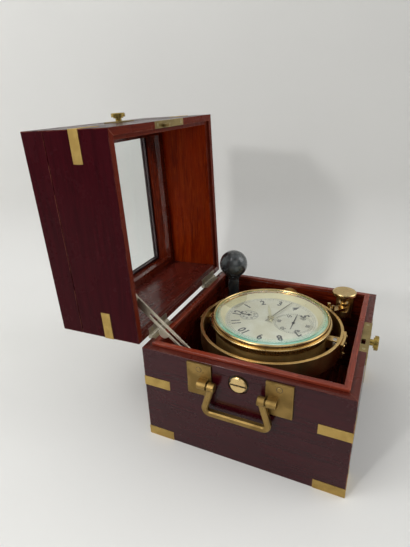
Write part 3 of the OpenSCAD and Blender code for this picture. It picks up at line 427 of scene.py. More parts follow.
@dataclass(frozen=True)
class WoodFinish:
    """Lacquered hardwood, dark outside and redder on the inner and rim faces; the inner colours it starts
    with are darkened as painted shade inside the deep base.
    """

    name: str
    grain: Grain
    tier: Tier = Tier.BASE
    outer_dark: Colour = srgb(42, 3, 9)
    outer_mid: Colour = srgb(52, 5, 13)
    outer_light: Colour = srgb(56, 6, 14)
    # Inner colours darker than the tier's own: painted shade deep inside the base, over the wood's own
    # redder tone.
    inner_dark: Colour = srgb(50, 11, 5)
    inner_mid: Colour = srgb(78, 20, 7)
    inner_light: Colour = srgb(104, 34, 12)
    rim: Colour = srgb(80, 30, 22)
    worn: Colour = srgb(168, 104, 84)
    all_inside: bool = False
    ring_frame: bool = False
    wear: float = 0.6
    coat: float = 0.1
    gloss: float = 0.22
    seam: float = 169.75
    seam_half: tuple[float, float] = (0.5, 0.35)
    top_from: tuple[float, float] = (193.4, 193.8)
    rim_from: tuple[tuple[float, float], tuple[float, float]] = ((102.6, 102.8), (107.1, 106.9))

    def depth_terms(self) -> tuple[Point, float]:
        """Works out how a point's place gives its depth once the case is closed.

        Returns:
            The direction to measure along, and the offset to add, in metres.
        """
        if self.tier is Tier.BASE:
            return (0.0, 1.0, 0.0), 0.0
        cosine, sine = math.cos(OPEN_ANGLE), math.sin(OPEN_ANGLE)
        offset = HINGE_Y - (HINGE_Y * cosine - HINGE_Z * sine)
        return (0.0, cosine, -sine), offset * MM

    def closed_height(self, g: Graph, place: bpy.types.NodeSocket) -> bpy.types.NodeSocket:
        """Adds the height of a point above the floor once the case is closed.

        Args:
            g: The material's graph.
            place: Object coordinates.

        Returns:
            The height, in metres.
        """
        if self.tier is Tier.BASE:
            return g.dot(place, (0.0, 0.0, 1.0))
        cosine, sine = math.cos(OPEN_ANGLE), math.sin(OPEN_ANGLE)
        offset = HINGE_Z - HINGE_Y * sine - HINGE_Z * cosine
        return g.math("ADD", g.dot(place, (0.0, sine, cosine)), offset * MM)

    def rim_mask(self, g: Graph, height: bpy.types.NodeSocket) -> bpy.types.NodeSocket:
        """Adds the mask of the faces that meet where the case closes.

        Args:
            g: The material's graph.
            height: Height of the point once the case is closed.

        Returns:
            The mask.
        """
        below, above = self.rim_from
        if self.tier is Tier.BASE:
            return g.remap(height, below[0] * MM, below[1] * MM)
        return g.remap(height, above[0] * MM, above[1] * MM)

    def outside_mask(self, g: Graph, place: bpy.types.NodeSocket) -> tuple:
        """Adds the masks of a square tier.

        Args:
            g: The material's graph.
            place: Object coordinates.

        Returns:
            The mask of the outer faces, and that of the two side rails.
        """
        direction, offset = self.depth_terms()
        across = g.math("ABSOLUTE", g.dot(place, (1.0, 0.0, 0.0)))
        depth = g.math("ABSOLUTE", g.math("ADD", g.dot(place, direction), offset))
        reach = g.math("MAXIMUM", across, depth)
        outside = g.remap(reach, (HALF_CASE - 0.5) * MM, (HALF_CASE - 0.15) * MM)
        return outside, g.math("GREATER_THAN", across, depth)

    def top_mask(self, g: Graph, height: bpy.types.NodeSocket) -> bpy.types.NodeSocket:
        """Adds the mask of the lid's lacquered top and of the seam under the lid.

        Args:
            g: The material's graph.
            height: Height of the point once the case is closed.

        Returns:
            The mask.
        """
        top = g.remap(height, self.top_from[0] * MM, self.top_from[1] * MM)
        away = g.math("ABSOLUTE", g.math("SUBTRACT", height, self.seam * MM))
        return g.math("MAXIMUM", top, g.remap(away, self.seam_half[0] * MM, self.seam_half[1] * MM))

    def grain_vector(self, g: Graph, place: bpy.types.NodeSocket, sides: object) -> bpy.types.NodeSocket:
        """Stretches the coordinates along the grain, in a frame's side rails the other way.

        Args:
            g: The material's graph.
            place: Object coordinates.
            sides: Mask of the side rails.

        Returns:
            The stretched coordinates.
        """
        stretch = g.add("ShaderNodeMapping", {"Vector": place, "Scale": self.grain.value}).outputs[0]
        if not self.ring_frame:
            return stretch
        side_grain = Grain.ALONG_Y if self.tier is Tier.BASE else Grain.ALONG_Z
        turned = g.add("ShaderNodeMapping", {"Vector": place, "Scale": side_grain.value}).outputs[0]
        mixed = g.add("ShaderNodeMix", {0: sides, 4: stretch, 5: turned}, data_type="VECTOR")
        return mixed.outputs[1]

    def build(self) -> bpy.types.Material:
        """Makes the material.

        Returns:
            The material.
        """
        material, g, surface, place = new_material(self.name)
        outside, sides = self.outside_mask(g, place)
        height = self.closed_height(g, place)
        if self.tier is Tier.UPPER:
            outside = g.math("MAXIMUM", outside, self.top_mask(g, height))
        stretch = self.grain_vector(g, place, sides)
        group = wood_grain_group()
        inner = placed(g, group, {"Vector": stretch, "Dark": self.inner_dark,
                                  "Mid": self.inner_mid, "Light": self.inner_light})
        colour = inner.outputs["Color"]
        if not self.all_inside:
            rim = g.math("MULTIPLY", self.rim_mask(g, height), 0.8)
            colour = g.blend(rim, colour, self.rim)
            outer = placed(g, group, {"Vector": stretch, "Dark": self.outer_dark,
                                      "Mid": self.outer_mid, "Light": self.outer_light})
            colour = g.blend(outside, colour, outer.outputs["Color"])
        wear = placed(g, edge_wear_and_glint_group(), {"Vector": place, "Radius": 0.9 * MM, "Amount": self.wear})
        colour = g.blend(wear.outputs[0], colour, self.worn)
        gloss = placed(g, smudge_group(), {"Vector": place, "Base": 0.16, "Spread": 0.16})
        g.tree.links.new(colour, surface.inputs["Base Color"])
        g.tree.links.new(gloss.outputs[0], surface.inputs["Roughness"])
        surface.inputs["Coat Weight"].default_value = self.coat
        surface.inputs["Coat Roughness"].default_value = 0.09
        surface.inputs["Specular IOR Level"].default_value = self.gloss
        bumped(g, surface, inner.outputs["Height"], 0.01 * MM)
        return material


@dataclass(frozen=True)
class BrassFinish:
    """Brass from polished to tarnished, with worn arrises; in the aged brass they are near white, a painted
    highlight.
    """

    name: str
    bright: Colour
    tarnish: Colour
    amount: float
    roughness: float
    spread: float
    wear: float = 0.5
    rubbed_and_glint: Colour = srgb(236, 206, 132)
    texture: float = 0.015

    def build(self) -> bpy.types.Material:
        """Makes the material.

        Returns:
            The material.
        """
        material, g, surface, place = new_material(self.name)
        patina = placed(g, patina_group(), {"Vector": place, "Bright": self.bright,
                                            "Tarnish": self.tarnish, "Amount": self.amount})
        wear = placed(g, edge_wear_and_glint_group(), {"Vector": place, "Radius": 0.5 * MM, "Amount": self.wear})
        # Lightens the arrises: worn brass, and in the aged brass a painted highlight.
        colour = g.blend(wear.outputs[0], patina.outputs["Color"], self.rubbed_and_glint)
        gloss = placed(g, smudge_group(), {"Vector": place, "Base": self.roughness, "Spread": self.spread})
        dull = g.math("MULTIPLY", patina.outputs["Mask"], 0.18)
        g.tree.links.new(colour, surface.inputs["Base Color"])
        g.tree.links.new(g.math("ADD", gloss.outputs[0], dull, clamp=True), surface.inputs["Roughness"])
        surface.inputs["Metallic"].default_value = 1.0
        bumped(g, surface, patina.outputs["Height"], self.texture * MM)
        return material


@dataclass(frozen=True)
class GlassFinish:
    """Clear glass that lets lamp light through to what is behind it."""

    name: str
    tint: Colour
    ior: float = 1.5
    smudge: float = 0.03

    def build(self) -> bpy.types.Material:
        """Makes the material.

        Returns:
            The material.
        """
        material, g, surface, place = new_material(self.name)
        gloss = placed(g, smudge_group(), {"Vector": place, "Base": 0.0, "Spread": self.smudge})
        g.tree.links.new(gloss.outputs[0], surface.inputs["Roughness"])
        surface.inputs["Base Color"].default_value = self.tint
        surface.inputs["IOR"].default_value = self.ior
        surface.inputs["Transmission Weight"].default_value = 1.0
        lamp = g.add("ShaderNodeLightPath").outputs["Is Shadow Ray"]
        clear = g.add("ShaderNodeBsdfTransparent", {"Color": self.tint})
        mixed = g.add("ShaderNodeMixShader", {0: lamp, 1: surface.outputs[0], 2: clear.outputs[0]})
        output = next(n for n in g.tree.nodes if n.type == "OUTPUT_MATERIAL")
        g.tree.links.new(mixed.outputs[0], output.inputs["Surface"])
        return material


@dataclass(frozen=True)
class EdgeGlassFinish:
    """The tinted bevel of a thick glass, seen only from its outward side."""

    name: str
    tint: Colour
    pale: Colour
    inner_r: float
    outer_r: float

    def build(self) -> bpy.types.Material:
        """Makes the material.

        Returns:
            The material.
        """
        material, g, surface, place = new_material(self.name)
        lines = placed(g, turned_lines_group(), {"Vector": place, "Centre": (0.0, 0.0, 0.0),
                                                 "Pitch": 0.3 * MM})
        share = g.remap(lines.outputs["Radius"], self.inner_r * MM, self.outer_r * MM)
        cloud = g.remap(g.noise(place, 60.0, 3.0), 0.35, 0.65)
        g.tree.links.new(g.blend(cloud, self.tint, self.pale), surface.inputs["Base Color"])
        skin = g.add("ShaderNodeNewGeometry")
        flat = g.add("ShaderNodeVectorMath", {0: place, 1: (1.0, 1.0, 0.0)}, operation="MULTIPLY")
        radial = g.add("ShaderNodeVectorMath", {0: flat.outputs[0]}, operation="NORMALIZE")
        lean = g.add("ShaderNodeVectorMath", {0: radial.outputs[0], 1: skin.outputs["True Normal"]},
                     operation="DOT_PRODUCT")
        outward = g.remap(lean.outputs["Value"], 0.2, 0.4)
        seen = g.math("MULTIPLY", outward, g.math("SUBTRACT", 1.0, skin.outputs["Backfacing"]))
        veil = g.math("MULTIPLY_ADD", share, 0.5, 0.12)
        g.tree.links.new(g.math("MULTIPLY", veil, seen), surface.inputs["Alpha"])
        gloss = placed(g, smudge_group(), {"Vector": place, "Base": 0.06, "Spread": 0.05})
        g.tree.links.new(gloss.outputs[0], surface.inputs["Roughness"])
        surface.inputs["Coat Weight"].default_value = 0.6
        bumped(g, surface, g.noise(place, 30.0, 2.0), 0.02 * MM)
        return material


@dataclass(frozen=True)
class PlainFinish:
    """A paint, stain, plastic or steel with cloudy tone and uneven gloss."""

    name: str
    base: Colour
    second: Colour
    roughness: float
    spread: float = 0.08
    metallic: float = 0.0
    coat: float = 0.0
    texture: float = 0.008

    def build(self) -> bpy.types.Material:
        """Makes the material.

        Returns:
            The material.
        """
        material, g, surface, place = new_material(self.name)
        cloud = g.noise(place, 70.0, 6.0, 0.4)
        colour = g.blend(g.remap(cloud, 0.36, 0.66), self.base, self.second)
        gloss = placed(g, smudge_group(), {"Vector": place, "Base": self.roughness, "Spread": self.spread})
        g.tree.links.new(colour, surface.inputs["Base Color"])
        g.tree.links.new(gloss.outputs[0], surface.inputs["Roughness"])
        surface.inputs["Metallic"].default_value = self.metallic
        surface.inputs["Coat Weight"].default_value = self.coat
        surface.inputs["Coat Roughness"].default_value = 0.04
        bumped(g, surface, g.noise(place, 900.0, 2.0), self.texture * MM)
        return material


@dataclass(frozen=True)
class DialFinish:
    """Silvered dial with snailed small dials."""

    name: str
    silver: Colour = srgb(206, 203, 188)
    shade: Colour = srgb(196, 190, 168)
    snailed: Colour = srgb(176, 174, 164)
    small_dials: tuple[tuple[float, float], ...] = ((-23.4, 17.5), (23.4, 10.0))

    def build(self) -> bpy.types.Material:
        """Makes the material.

        Returns:
            The material.
        """
        material, g, surface, place = new_material(self.name)
        colour = g.blend(g.remap(g.noise(place, 45.0, 5.0), 0.35, 0.65), self.silver, self.shade)
        height = g.math("MULTIPLY", g.noise(place, 1400.0, 2.0), 0.4)
        for offset, radius in self.small_dials:
            lines = placed(g, turned_lines_group(), {"Vector": place, "Centre": (0.0, offset * MM, 0.0),
                                                     "Pitch": 0.07 * MM})
            inside = g.remap(lines.outputs["Radius"], radius * MM, (radius - 0.3) * MM)
            height = g.math("ADD", height, g.math("MULTIPLY", lines.outputs["Height"], inside))
            colour = g.blend(g.math("MULTIPLY", inside, 0.35), colour, self.snailed)
        gloss = placed(g, smudge_group(), {"Vector": place, "Base": 0.36, "Spread": 0.1})
        g.tree.links.new(colour, surface.inputs["Base Color"])
        g.tree.links.new(gloss.outputs[0], surface.inputs["Roughness"])
        surface.inputs["Metallic"].default_value = 0.35
        bumped(g, surface, height, 0.006 * MM)
        return material


Finish = WoodFinish | BrassFinish | GlassFinish | EdgeGlassFinish | PlainFinish | DialFinish


class Finishes:
    """Every finish of the chronometer, each made once."""

    def __init__(self) -> None:
        """Starts with no finish made."""
        self.made: dict[str, bpy.types.Material] = {}

    def get(self, finish: Finish) -> bpy.types.Material:
        """Finds the finish's material, and makes it the first time it is asked for.

        Args:
            finish: The finish.

        Returns:
            Its material.
        """
        if finish.name not in self.made:
            self.made[finish.name] = finish.build()
        return self.made[finish.name]


FINISHES = Finishes()

POLISHED = BrassFinish(
    "Polished brass", srgb(214, 186, 130), srgb(184, 152, 98),
    amount=0.25, roughness=0.2, spread=0.06, wear=0.1, texture=0.002,
)
RING_BRASS = BrassFinish(
    "Ring brass", srgb(224, 190, 126), srgb(172, 136, 82),
    amount=0.4, roughness=0.26, spread=0.1, texture=0.006,
)
BOWL_BRASS = BrassFinish(
    "Bowl brass", srgb(220, 188, 120), srgb(160, 130, 78),
    amount=0.5, roughness=0.42, spread=0.12, texture=0.006,
)
REFLECTOR = BrassFinish(
    "Reflector brass", srgb(240, 230, 190), srgb(222, 208, 162),
    amount=0.2, roughness=0.26, spread=0.06, wear=0.1, texture=0.003,
)
STRAP_BRASS = BrassFinish(
    "Strap brass", srgb(188, 158, 92), srgb(150, 122, 66),
    amount=0.5, roughness=0.36, spread=0.14, texture=0.03,
)
HANDLE_BRASS = BrassFinish(
    "Handle brass", srgb(154, 126, 74), srgb(106, 84, 44),
    amount=0.6, roughness=0.4, spread=0.14, wear=0.6, rubbed_and_glint=srgb(214, 190, 130), texture=0.03,
)
BUTTON_BRASS = BrassFinish(
    "Button brass", srgb(176, 150, 82), srgb(100, 82, 40),
    amount=0.5, roughness=0.18, spread=0.12,
)
# Near-white arrises at full amount: painted highlight on the hinges and stay, over their real wear.
AGED_BRASS = BrassFinish(
    "Aged brass", srgb(182, 174, 156), srgb(122, 114, 98),
    amount=0.5, roughness=0.34, spread=0.14, wear=1.0, rubbed_and_glint=srgb(250, 244, 230),
)
LOCK_BRASS = BrassFinish(
    "Lock brass", srgb(160, 140, 92), srgb(104, 88, 54),
    amount=0.5, roughness=0.3, spread=0.12, wear=0.8, rubbed_and_glint=srgb(216, 198, 150),
)
SCREW_BRASS = BrassFinish(
    "Screw brass", srgb(184, 174, 136), srgb(120, 108, 76),
    amount=0.4, roughness=0.24, spread=0.12,
)
MOVEMENT_BRASS = BrassFinish(
    "Gilt brass", srgb(222, 184, 104), srgb(182, 144, 76),
    amount=0.3, roughness=0.22, spread=0.1,
)
STEEL = PlainFinish(
    "Bright steel", srgb(214, 210, 200), srgb(178, 176, 170),
    roughness=0.22, spread=0.1, metallic=1.0,
)
BLUED = PlainFinish(
    "Blued steel", srgb(42, 44, 50), srgb(24, 26, 32),
    roughness=0.24, spread=0.08, metallic=0.8,
)
OLIVE = PlainFinish("Minute hand", srgb(112, 106, 88), srgb(92, 86, 70), roughness=0.35)
COLLET = PlainFinish(
    "Hand collet", srgb(150, 142, 104), srgb(112, 104, 74),
    roughness=0.3, metallic=0.3,
)
TRACK_INK = PlainFinish("Track ink", srgb(92, 94, 100), srgb(104, 104, 108), roughness=0.5)
INK = PlainFinish("Dial ink", srgb(26, 28, 36), srgb(38, 39, 44), roughness=0.5)
GRIP = PlainFinish(
    "Black grip", srgb(76, 80, 80), srgb(46, 49, 50),
    roughness=0.18, spread=0.12, coat=0.4,
)
BEAD = PlainFinish("Dark bead", srgb(58, 36, 38), srgb(40, 24, 26), roughness=0.32, coat=0.2)
LUME = PlainFinish("Hour hand", srgb(188, 182, 150), srgb(168, 160, 126), roughness=0.4)
# Near-black brown used as painted shade: thin rings and linings laid in the gaps round screw heads, in the
# pivot counterbores and low in the pivot screws' slots.
SHADOW = PlainFinish("Painted shade", srgb(44, 32, 16), srgb(26, 18, 10), roughness=0.45)
EDGE_TINT = EdgeGlassFinish(
    "Glass edge", srgb(112, 198, 172), srgb(170, 224, 206),
    inner_r=50.8, outer_r=56.0,
)
CRYSTAL = GlassFinish("Crystal glass", (0.975, 1.0, 0.985, 1.0), smudge=0.02)
PANE = GlassFinish("Pane glass", (0.95, 0.985, 0.97, 1.0), smudge=0.02)
DIAL = DialFinish("Silvered dial")


def smooth_shaded(obj: bpy.types.Object) -> None:
    """Shades a CAD mesh smooth, without its own normals, and joins its double points.

    Args:
        obj: The mesh object.
    """
    if obj.data.attributes.get("custom_normal"):
        obj.data.attributes.remove(obj.data.attributes["custom_normal"])
    obj.data.shade_smooth()
    weld = obj.modifiers.new("weld", "WELD")
    weld.merge_threshold = WELD * MM


def parted(obj: bpy.types.Object, angle: float) -> None:
    """Parts an object's smooth shading at corners sharper than angle degrees."""
    split = obj.modifiers.new("corners", "EDGE_SPLIT")
    split.split_angle = math.radians(angle)


def rounded(obj: bpy.types.Object, arris: float, angle: float) -> None:
    """Rounds an object's sharp edges.

    Args:
        obj: The mesh object.
        arris: Width of the rounding, in millimetres.
        angle: Corners sharper than this, in degrees, are rounded.
    """
    bevel = obj.modifiers.new("arris", "BEVEL")
    bevel.width = arris * MM
    bevel.segments = 2
    bevel.limit_method = "ANGLE"
    bevel.angle_limit = math.radians(angle)
    bevel.harden_normals = True
    bevel.use_clamp_overlap = True


def dress(node: str, finish: Finish, arris: float = 0.0, angle: float = 32.0) -> None:
    """Gives a CAD node its finish, smooth shading and a fine rounded arris.

    Args:
        node: The CAD node's name.
        finish: The finish that it gets.
        arris: Width of the rounding at sharp edges, in millimetres; 0 leaves them sharp.
        angle: Corners sharper than this, in degrees, stay corners.
    """
    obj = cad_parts[node]
    obj.data.materials.clear()
    obj.data.materials.append(FINISHES.get(finish))
    smooth_shaded(obj)
    if arris > 0:
        rounded(obj, arris, angle)
    else:
        parted(obj, angle)
    LOG.info("dressed %s with %s", node, finish.name)


# Height of the built-in font's figures as a share of its size.
FIGURE_SHARE = 0.71


class Piece:
    """A mesh in millimetres with the few forms that the fittings need."""

    def __init__(self, name: str, finish: Finish, body: str, slot: str) -> None:
        """Starts an empty piece.

        Args:
            name: The piece's name.
            finish: The finish that it gets.
            body: The CAD body that it rides on.
            slot: Name of a material slot; it is kept with the piece but not used.
        """
        self.name = name
        self.finish = finish
        self.body = body
        self.slot = slot
        self.bm = bmesh.new()

    def lathe(
        self,
        profile: Profile,
        steps: int,
        place: Matrix | None = None,
        radius_at: Callable[[float, int], float] | None = None,
        closed: bool = False,
    ) -> None:
        """Turns a profile of radius and height about the local Z axis.

        Args:
            profile: Points of radius and height.
            steps: Number of steps round the axis.
            place: Where the form stands, in millimetres.
            radius_at: Changes in radius for an angle and a profile point's index.
            closed: True joins the last profile point to the first.
        """
        place = place or Matrix.Identity(4)
        rings = []
        for step in range(steps):
            angle = step * math.tau / steps
            ring = []
            for index, (radius, height) in enumerate(profile):
                reach = radius + (radius_at(angle, index) if radius_at else 0.0)
                point = Vector((reach * math.cos(angle), reach * math.sin(angle), height))
                ring.append(self.bm.verts.new(place @ point))
            rings.append(ring)
        count = len(profile) if closed else len(profile) - 1
        for step in range(steps):
            ring, after = rings[step], rings[(step + 1) % steps]
            for index in range(count):
                other = (index + 1) % len(profile)
                self.bm.faces.new((ring[index], after[index], after[other], ring[other]))

    def loft(self, levels: Sequence[Sequence[Vector]]) -> None:
        """Joins closed outlines of equal point counts, one after another, and closes both ends.

        Args:
            levels: The outlines, from one end to the other.
        """
        rings = [[self.bm.verts.new(p) for p in level] for level in levels]
        for lower, upper in zip(rings, rings[1:]):
            for index in range(len(lower)):
                other = (index + 1) % len(lower)
                self.bm.faces.new((lower[index], lower[other], upper[other], upper[index]))
        self.bm.faces.new(list(reversed(rings[0])))
        self.bm.faces.new(rings[-1])

    def prism(self, outline: Profile, low: float, high: float, place: Matrix | None = None) -> None:
        """Stands an outline up between two heights.

        Args:
            outline: Points of the outline.
            low: Height of its lower end.
            high: Height of its upper end.
            place: Where the form stands, in millimetres.
        """
        place = place or Matrix.Identity(4)
        self.loft([[place @ Vector((x, y, z)) for x, y in outline] for z in (low, high)])

    def screw(self, place: Matrix, radius: float, proud: float, slot: float = 0.0) -> None:
        """Adds a slotted head whose outward side is the local +Z.

        Args:
            place: The middle of the head's seat.
            radius: Radius of the head.
            proud: Height of the head above its seat.
            slot: Width of the slot, or 0 for about a quarter of the radius.
        """
        half_slot = (slot or radius * 0.26) / 2
        slot_floor = proud * 0.35
        chamfer = radius * 0.12
        start = math.asin(half_slot / radius)
        steps = 14
        sunk = 0.2
        self.lathe([(0, slot_floor), (radius * 0.99, slot_floor), (radius, -sunk)], 32, place)
        for side in (0.0, math.pi):
            angles = [start + (math.pi - 2 * start) * k / steps + side for k in range(steps + 1)]
            levels = []
            for height, inset in ((-sunk / 2, 0.0), (proud - chamfer, 0.0), (proud, chamfer)):
                level = []
                for angle in angles:
                    across = (radius - inset) * math.sin(angle)
                    across = math.copysign(max(abs(across), half_slot), across)
                    level.append(place @ Vector(((radius - inset) * math.cos(angle), across, height)))
                levels.append(level)
            self.loft(levels)

    def sweep_section(self, section: Profile, path: Sequence[Vector], across: Vector) -> None:
        """Carries a flat-sided section along a path that lies square to one direction.

        Args:
            section: Points in the path's plane and along that direction.
            path: Points of the path.
            across: The direction that the path's plane is square to.
        """
        levels = []
        for index, point in enumerate(path):
            before, after = path[max(index - 1, 0)], path[min(index + 1, len(path) - 1)]
            inward = across.cross(after - before).normalized()
            levels.append([point + inward * u + across * v for u, v in section])
        self.loft(levels)

    def glyphs(self, text: str, height: float, place: Matrix, squeeze: float, bold: float) -> None:
        """Adds plain dial numbers, lying flat with their top towards the local +Y.

        Args:
            text: The number.
            height: Height of a figure.
            place: The middle of the number.
            squeeze: Width of the figures compared with the plain ones.
            bold: Thickening of the strokes, as a share of the height.
        """
        curve = bpy.data.curves.new("figures", "FONT")
        curve.body = text
        curve.size = height / FIGURE_SHARE
        curve.offset = height * bold
        curve.align_x = "CENTER"
        curve.align_y = "CENTER"
        curve.resolution_u = 3
        stand_in = bpy.data.objects.new("figures", curve)
        bpy.context.scene.collection.objects.link(stand_in)
        bpy.context.view_layer.update()
        solved = stand_in.evaluated_get(bpy.context.evaluated_depsgraph_get())
        mesh = bpy.data.meshes.new_from_object(solved)
        mesh.transform(place @ Matrix.Diagonal((squeeze, 1.0, 1.0, 1.0)))
        self.bm.from_mesh(mesh)
        bpy.data.objects.remove(stand_in)
        bpy.data.meshes.remove(mesh)
        bpy.data.curves.remove(curve)

    def finish_piece(self, angle: float = 32.0, replaces: Sequence[str] = (), solid: bool = True) -> None:
        """Turns the form into an object that rides on its body.

        Args:
            angle: Corners sharper than this, in degrees, stay corners.
            replaces: CAD nodes that the piece stands for.
            solid: True for a closed form, whose faces are turned outwards.
        """
        bmesh.ops.remove_doubles(self.bm, verts=self.bm.verts, dist=WELD)
        if solid:
            bmesh.ops.recalc_face_normals(self.bm, faces=self.bm.faces)
        self.bm.transform(Matrix.Scale(MM, 4))
        mesh = bpy.data.meshes.new(self.name)
        self.bm.to_mesh(mesh)
        self.bm.free()
        obj = bpy.data.objects.new(self.name, mesh)
        bpy.context.scene.collection.objects.link(obj)
        mesh.materials.append(FINISHES.get(self.finish))
        mesh.shade_smooth()
        parted(obj, angle)
        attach(obj, self.body)
        if replaces:
            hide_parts(*replaces)
        LOG.info("built %s on %s", self.name, self.body)


def facing(at: Sequence[float], outward: Sequence[float], turn: float = 0.0) -> Matrix:
    """A place whose +Z looks outward, turned about it by turn degrees.

    Args:
        at: The place, in millimetres.
        outward: The direction that +Z takes.
        turn: Turn about that direction, in degrees.

    Returns:
        The place as a matrix.
    """
    look = Vector(outward).to_track_quat("Z", "Y").to_matrix().to_4x4()
    return Matrix.Translation(Vector(at)) @ look @ Matrix.Rotation(math.radians(turn), 4, "Z")


def arc(centre: tuple[float, float], across: float, up: float, start: float, end: float, steps: int) -> list:
    """Points of an elliptical arc in a profile.

    Args:
        centre: Middle of the ellipse.
        across: Half width.
        up: Half height.
        start: First angle, in degrees.
        end: Last angle, in degrees.
        steps: Number of steps.

    Returns:
        The points, from start to end.
    """
    points = []
    for step in range(steps + 1):
        angle = math.radians(start + (end - start) * step / steps)
        points.append((centre[0] + across * math.cos(angle), centre[1] + up * math.sin(angle)))
    return points


@dataclass(frozen=True)
class RimScrews:
    """The screws of the hinge leaves and of the lock or strike plate, alike on both rims."""

    hinge_x: float = 60.0
    steps: tuple[float, ...] = (-11.0, 0.0, 11.0)
    leaf_y: float = 91.6
    plate_x: float = 22.0
    plate_y: float = -91.9
    radius: float = 1.5
    proud: float = 0.12


@dataclass
class BaseCase:
    """The base tier with its straps, side handles and lock."""

    arris: float = 0.5
    rim: RimScrews = RimScrews()
    rim_z: float = 103.0
    plate_x: float = 97.0
    plate_y: float = 36.0
    plate_screw_z: float = 96.0
    plate_screw_r: float = 2.3
    plate_screw_proud: float = 0.3
    plate_slot_w: float = 0.8
    plate_slot_turn: float = 35.0
    # Ring of painted shade round each handle plate screw: its width past the head, its rise over the plate
    # and its foot below.
    shade_ring_gap: float = 0.45
    shade_ring_rise: float = 0.04
    shade_ring_foot: float = -0.3
    lock_x: float = 20.0
    lock_y: float = -96.0
    lock_z: float = 94.0
    lock_screw_r: float = 1.7
    lock_screw_proud: float = 0.2
    hinge_line: tuple[float, float] = (101.5, 84.0)
    eye_y: float = 22.4
    eye_r: float = 4.2
    eye_w: float = 6.4
    eye_bore: float = 2.05
    eye_chamfer: float = 0.5
    bar_start: float = 2.6
    bail_drop: float = 28.0
    bail_half: float = 24.0
    bail_corner: float = 5.0
    bail_flat: float = 2.9
    bail_chamfer: float = 1.1

    def boards(self) -> None:
        """Dresses the boards, the lip and the key's corner block."""
        # These boards, the bottom board and the key block keep the darkened inner colours, which are painted
        # shade inside the base.
        for node in ("base_front_board", "base_back_board"):
            dress(node, WoodFinish("Base wood x", Grain.ALONG_X), self.arris)
        for node in ("base_left_board", "base_right_board"):
            dress(node, WoodFinish("Base wood y", Grain.ALONG_Y), self.arris)
        inside = WoodFinish("Inner wood", Grain.ALONG_X, all_inside=True, coat=0.35)
        lip = WoodFinish("Lip wood", Grain.ALONG_X, all_inside=True, ring_frame=True, coat=0.2,
                         inner_dark=srgb(92, 32, 20), inner_mid=srgb(122, 46, 28),
                         inner_light=srgb(146, 64, 42))
        dress("base_bottom_board", inside, 0.3)
        dress("key_holder", inside, 0.6)
        dress("base_rim_lip", lip, 0.7)

    def metal(self) -> None:
        """Dresses the straps, hinges, handle plates and lock plate."""
        dress("base_corner_straps", STRAP_BRASS, 0.12)
        dress("base_hinge_leaves", AGED_BRASS, 0.1)
        dress("handle_plates", HANDLE_BRASS, 0.6)
        dress("lock_plate", LOCK_BRASS, 0.12)
        dress("lock_button", BUTTON_BRASS, 0.15)
        dress("stay_stud", AGED_BRASS, 0.2)

    def bail_path(self) -> list[tuple[float, float]]:
        """Works out a bail's centre line: a level grip, two round corners and two leaning legs.

        Returns:
            Places along the side and up from the hinge line.
        """
        lean = math.atan2(self.bail_half + self.bail_corner - self.eye_y, self.bail_drop - self.bail_corner)
        leg = (self.bail_drop - self.bail_corner * (1 + math.sin(lean))) / math.cos(lean)
        half = self.eye_y - self.bail_corner * math.cos(lean) + leg * math.sin(lean)
        middle = (half, self.bail_corner - self.bail_drop)
        start = (self.eye_y + self.bar_start * math.sin(lean), -self.bar_start * math.cos(lean))
        side = [start, *arc(middle, self.bail_corner, self.bail_corner, math.degrees(lean), -90, 12)]
        return side + [(-y, z) for y, z in reversed(side)]

    def bails(self) -> None:
        """Builds the two bails, flat-sided bars bent between barrel eyes."""
        flat, cut = self.bail_flat, self.bail_flat - self.bail_chamfer
        section = [(flat, cut), (cut, flat), (-cut, flat), (-flat, cut),
                   (-flat, -cut), (-cut, -flat), (cut, -flat), (flat, -cut)]
        half, reach, bore, edge = self.eye_w / 2, self.eye_r, self.eye_bore, self.eye_chamfer
        barrel = [(bore, -half), (reach - edge, -half), (reach, edge - half), (reach, half - edge),
                  (reach - edge, half), (bore, half)]
        for side, name in ((-1, "left"), (1, "right")):
            piece = Piece(f"bail_{name}_forged", HANDLE_BRASS, f"handle_{name}", "brass_dull")
            x, z = side * self.hinge_line[0], self.hinge_line[1]
            path = [Vector((x, along, z + up)) for along, up in self.bail_path()]
            piece.sweep_section(section, path, Vector((1, 0, 0)))
            for end in (-1, 1):
                piece.lathe(barrel, 40, facing((x, end * self.eye_y, z), (0, 1, 0)), closed=True)
            piece.finish_piece(angle=24, replaces=(f"handle_bail_{name}",))

    def plate_screws(self) -> None:
        """Adds the screws of the handle plates, each with a thin dark ring of painted shade round its head.
        """
        plates = Piece("handle_plate_screws", HANDLE_BRASS, "case", "brass_dull")
        shade_rings = Piece("handle_plate_painted_shade", SHADOW, "case", "brass_dull")
        # The ring's profile reaches a little past the head and runs from just over the plate down into it,
        # coloured as painted shade.
        reach = self.plate_screw_r + self.shade_ring_gap
        seat = [(0, self.shade_ring_rise), (reach, self.shade_ring_rise), (reach, self.shade_ring_foot)]
        for side in (-1, 1):
            for end in (-1, 1):
                at = (side * self.plate_x, end * self.plate_y, self.plate_screw_z)
                plates.screw(facing(at, (side, 0, 0), self.plate_slot_turn * end), self.plate_screw_r,
                             self.plate_screw_proud, self.plate_slot_w)
                shade_rings.lathe(seat, 32, facing(at, (side, 0, 0)))
        plates.finish_piece()
        shade_rings.finish_piece()

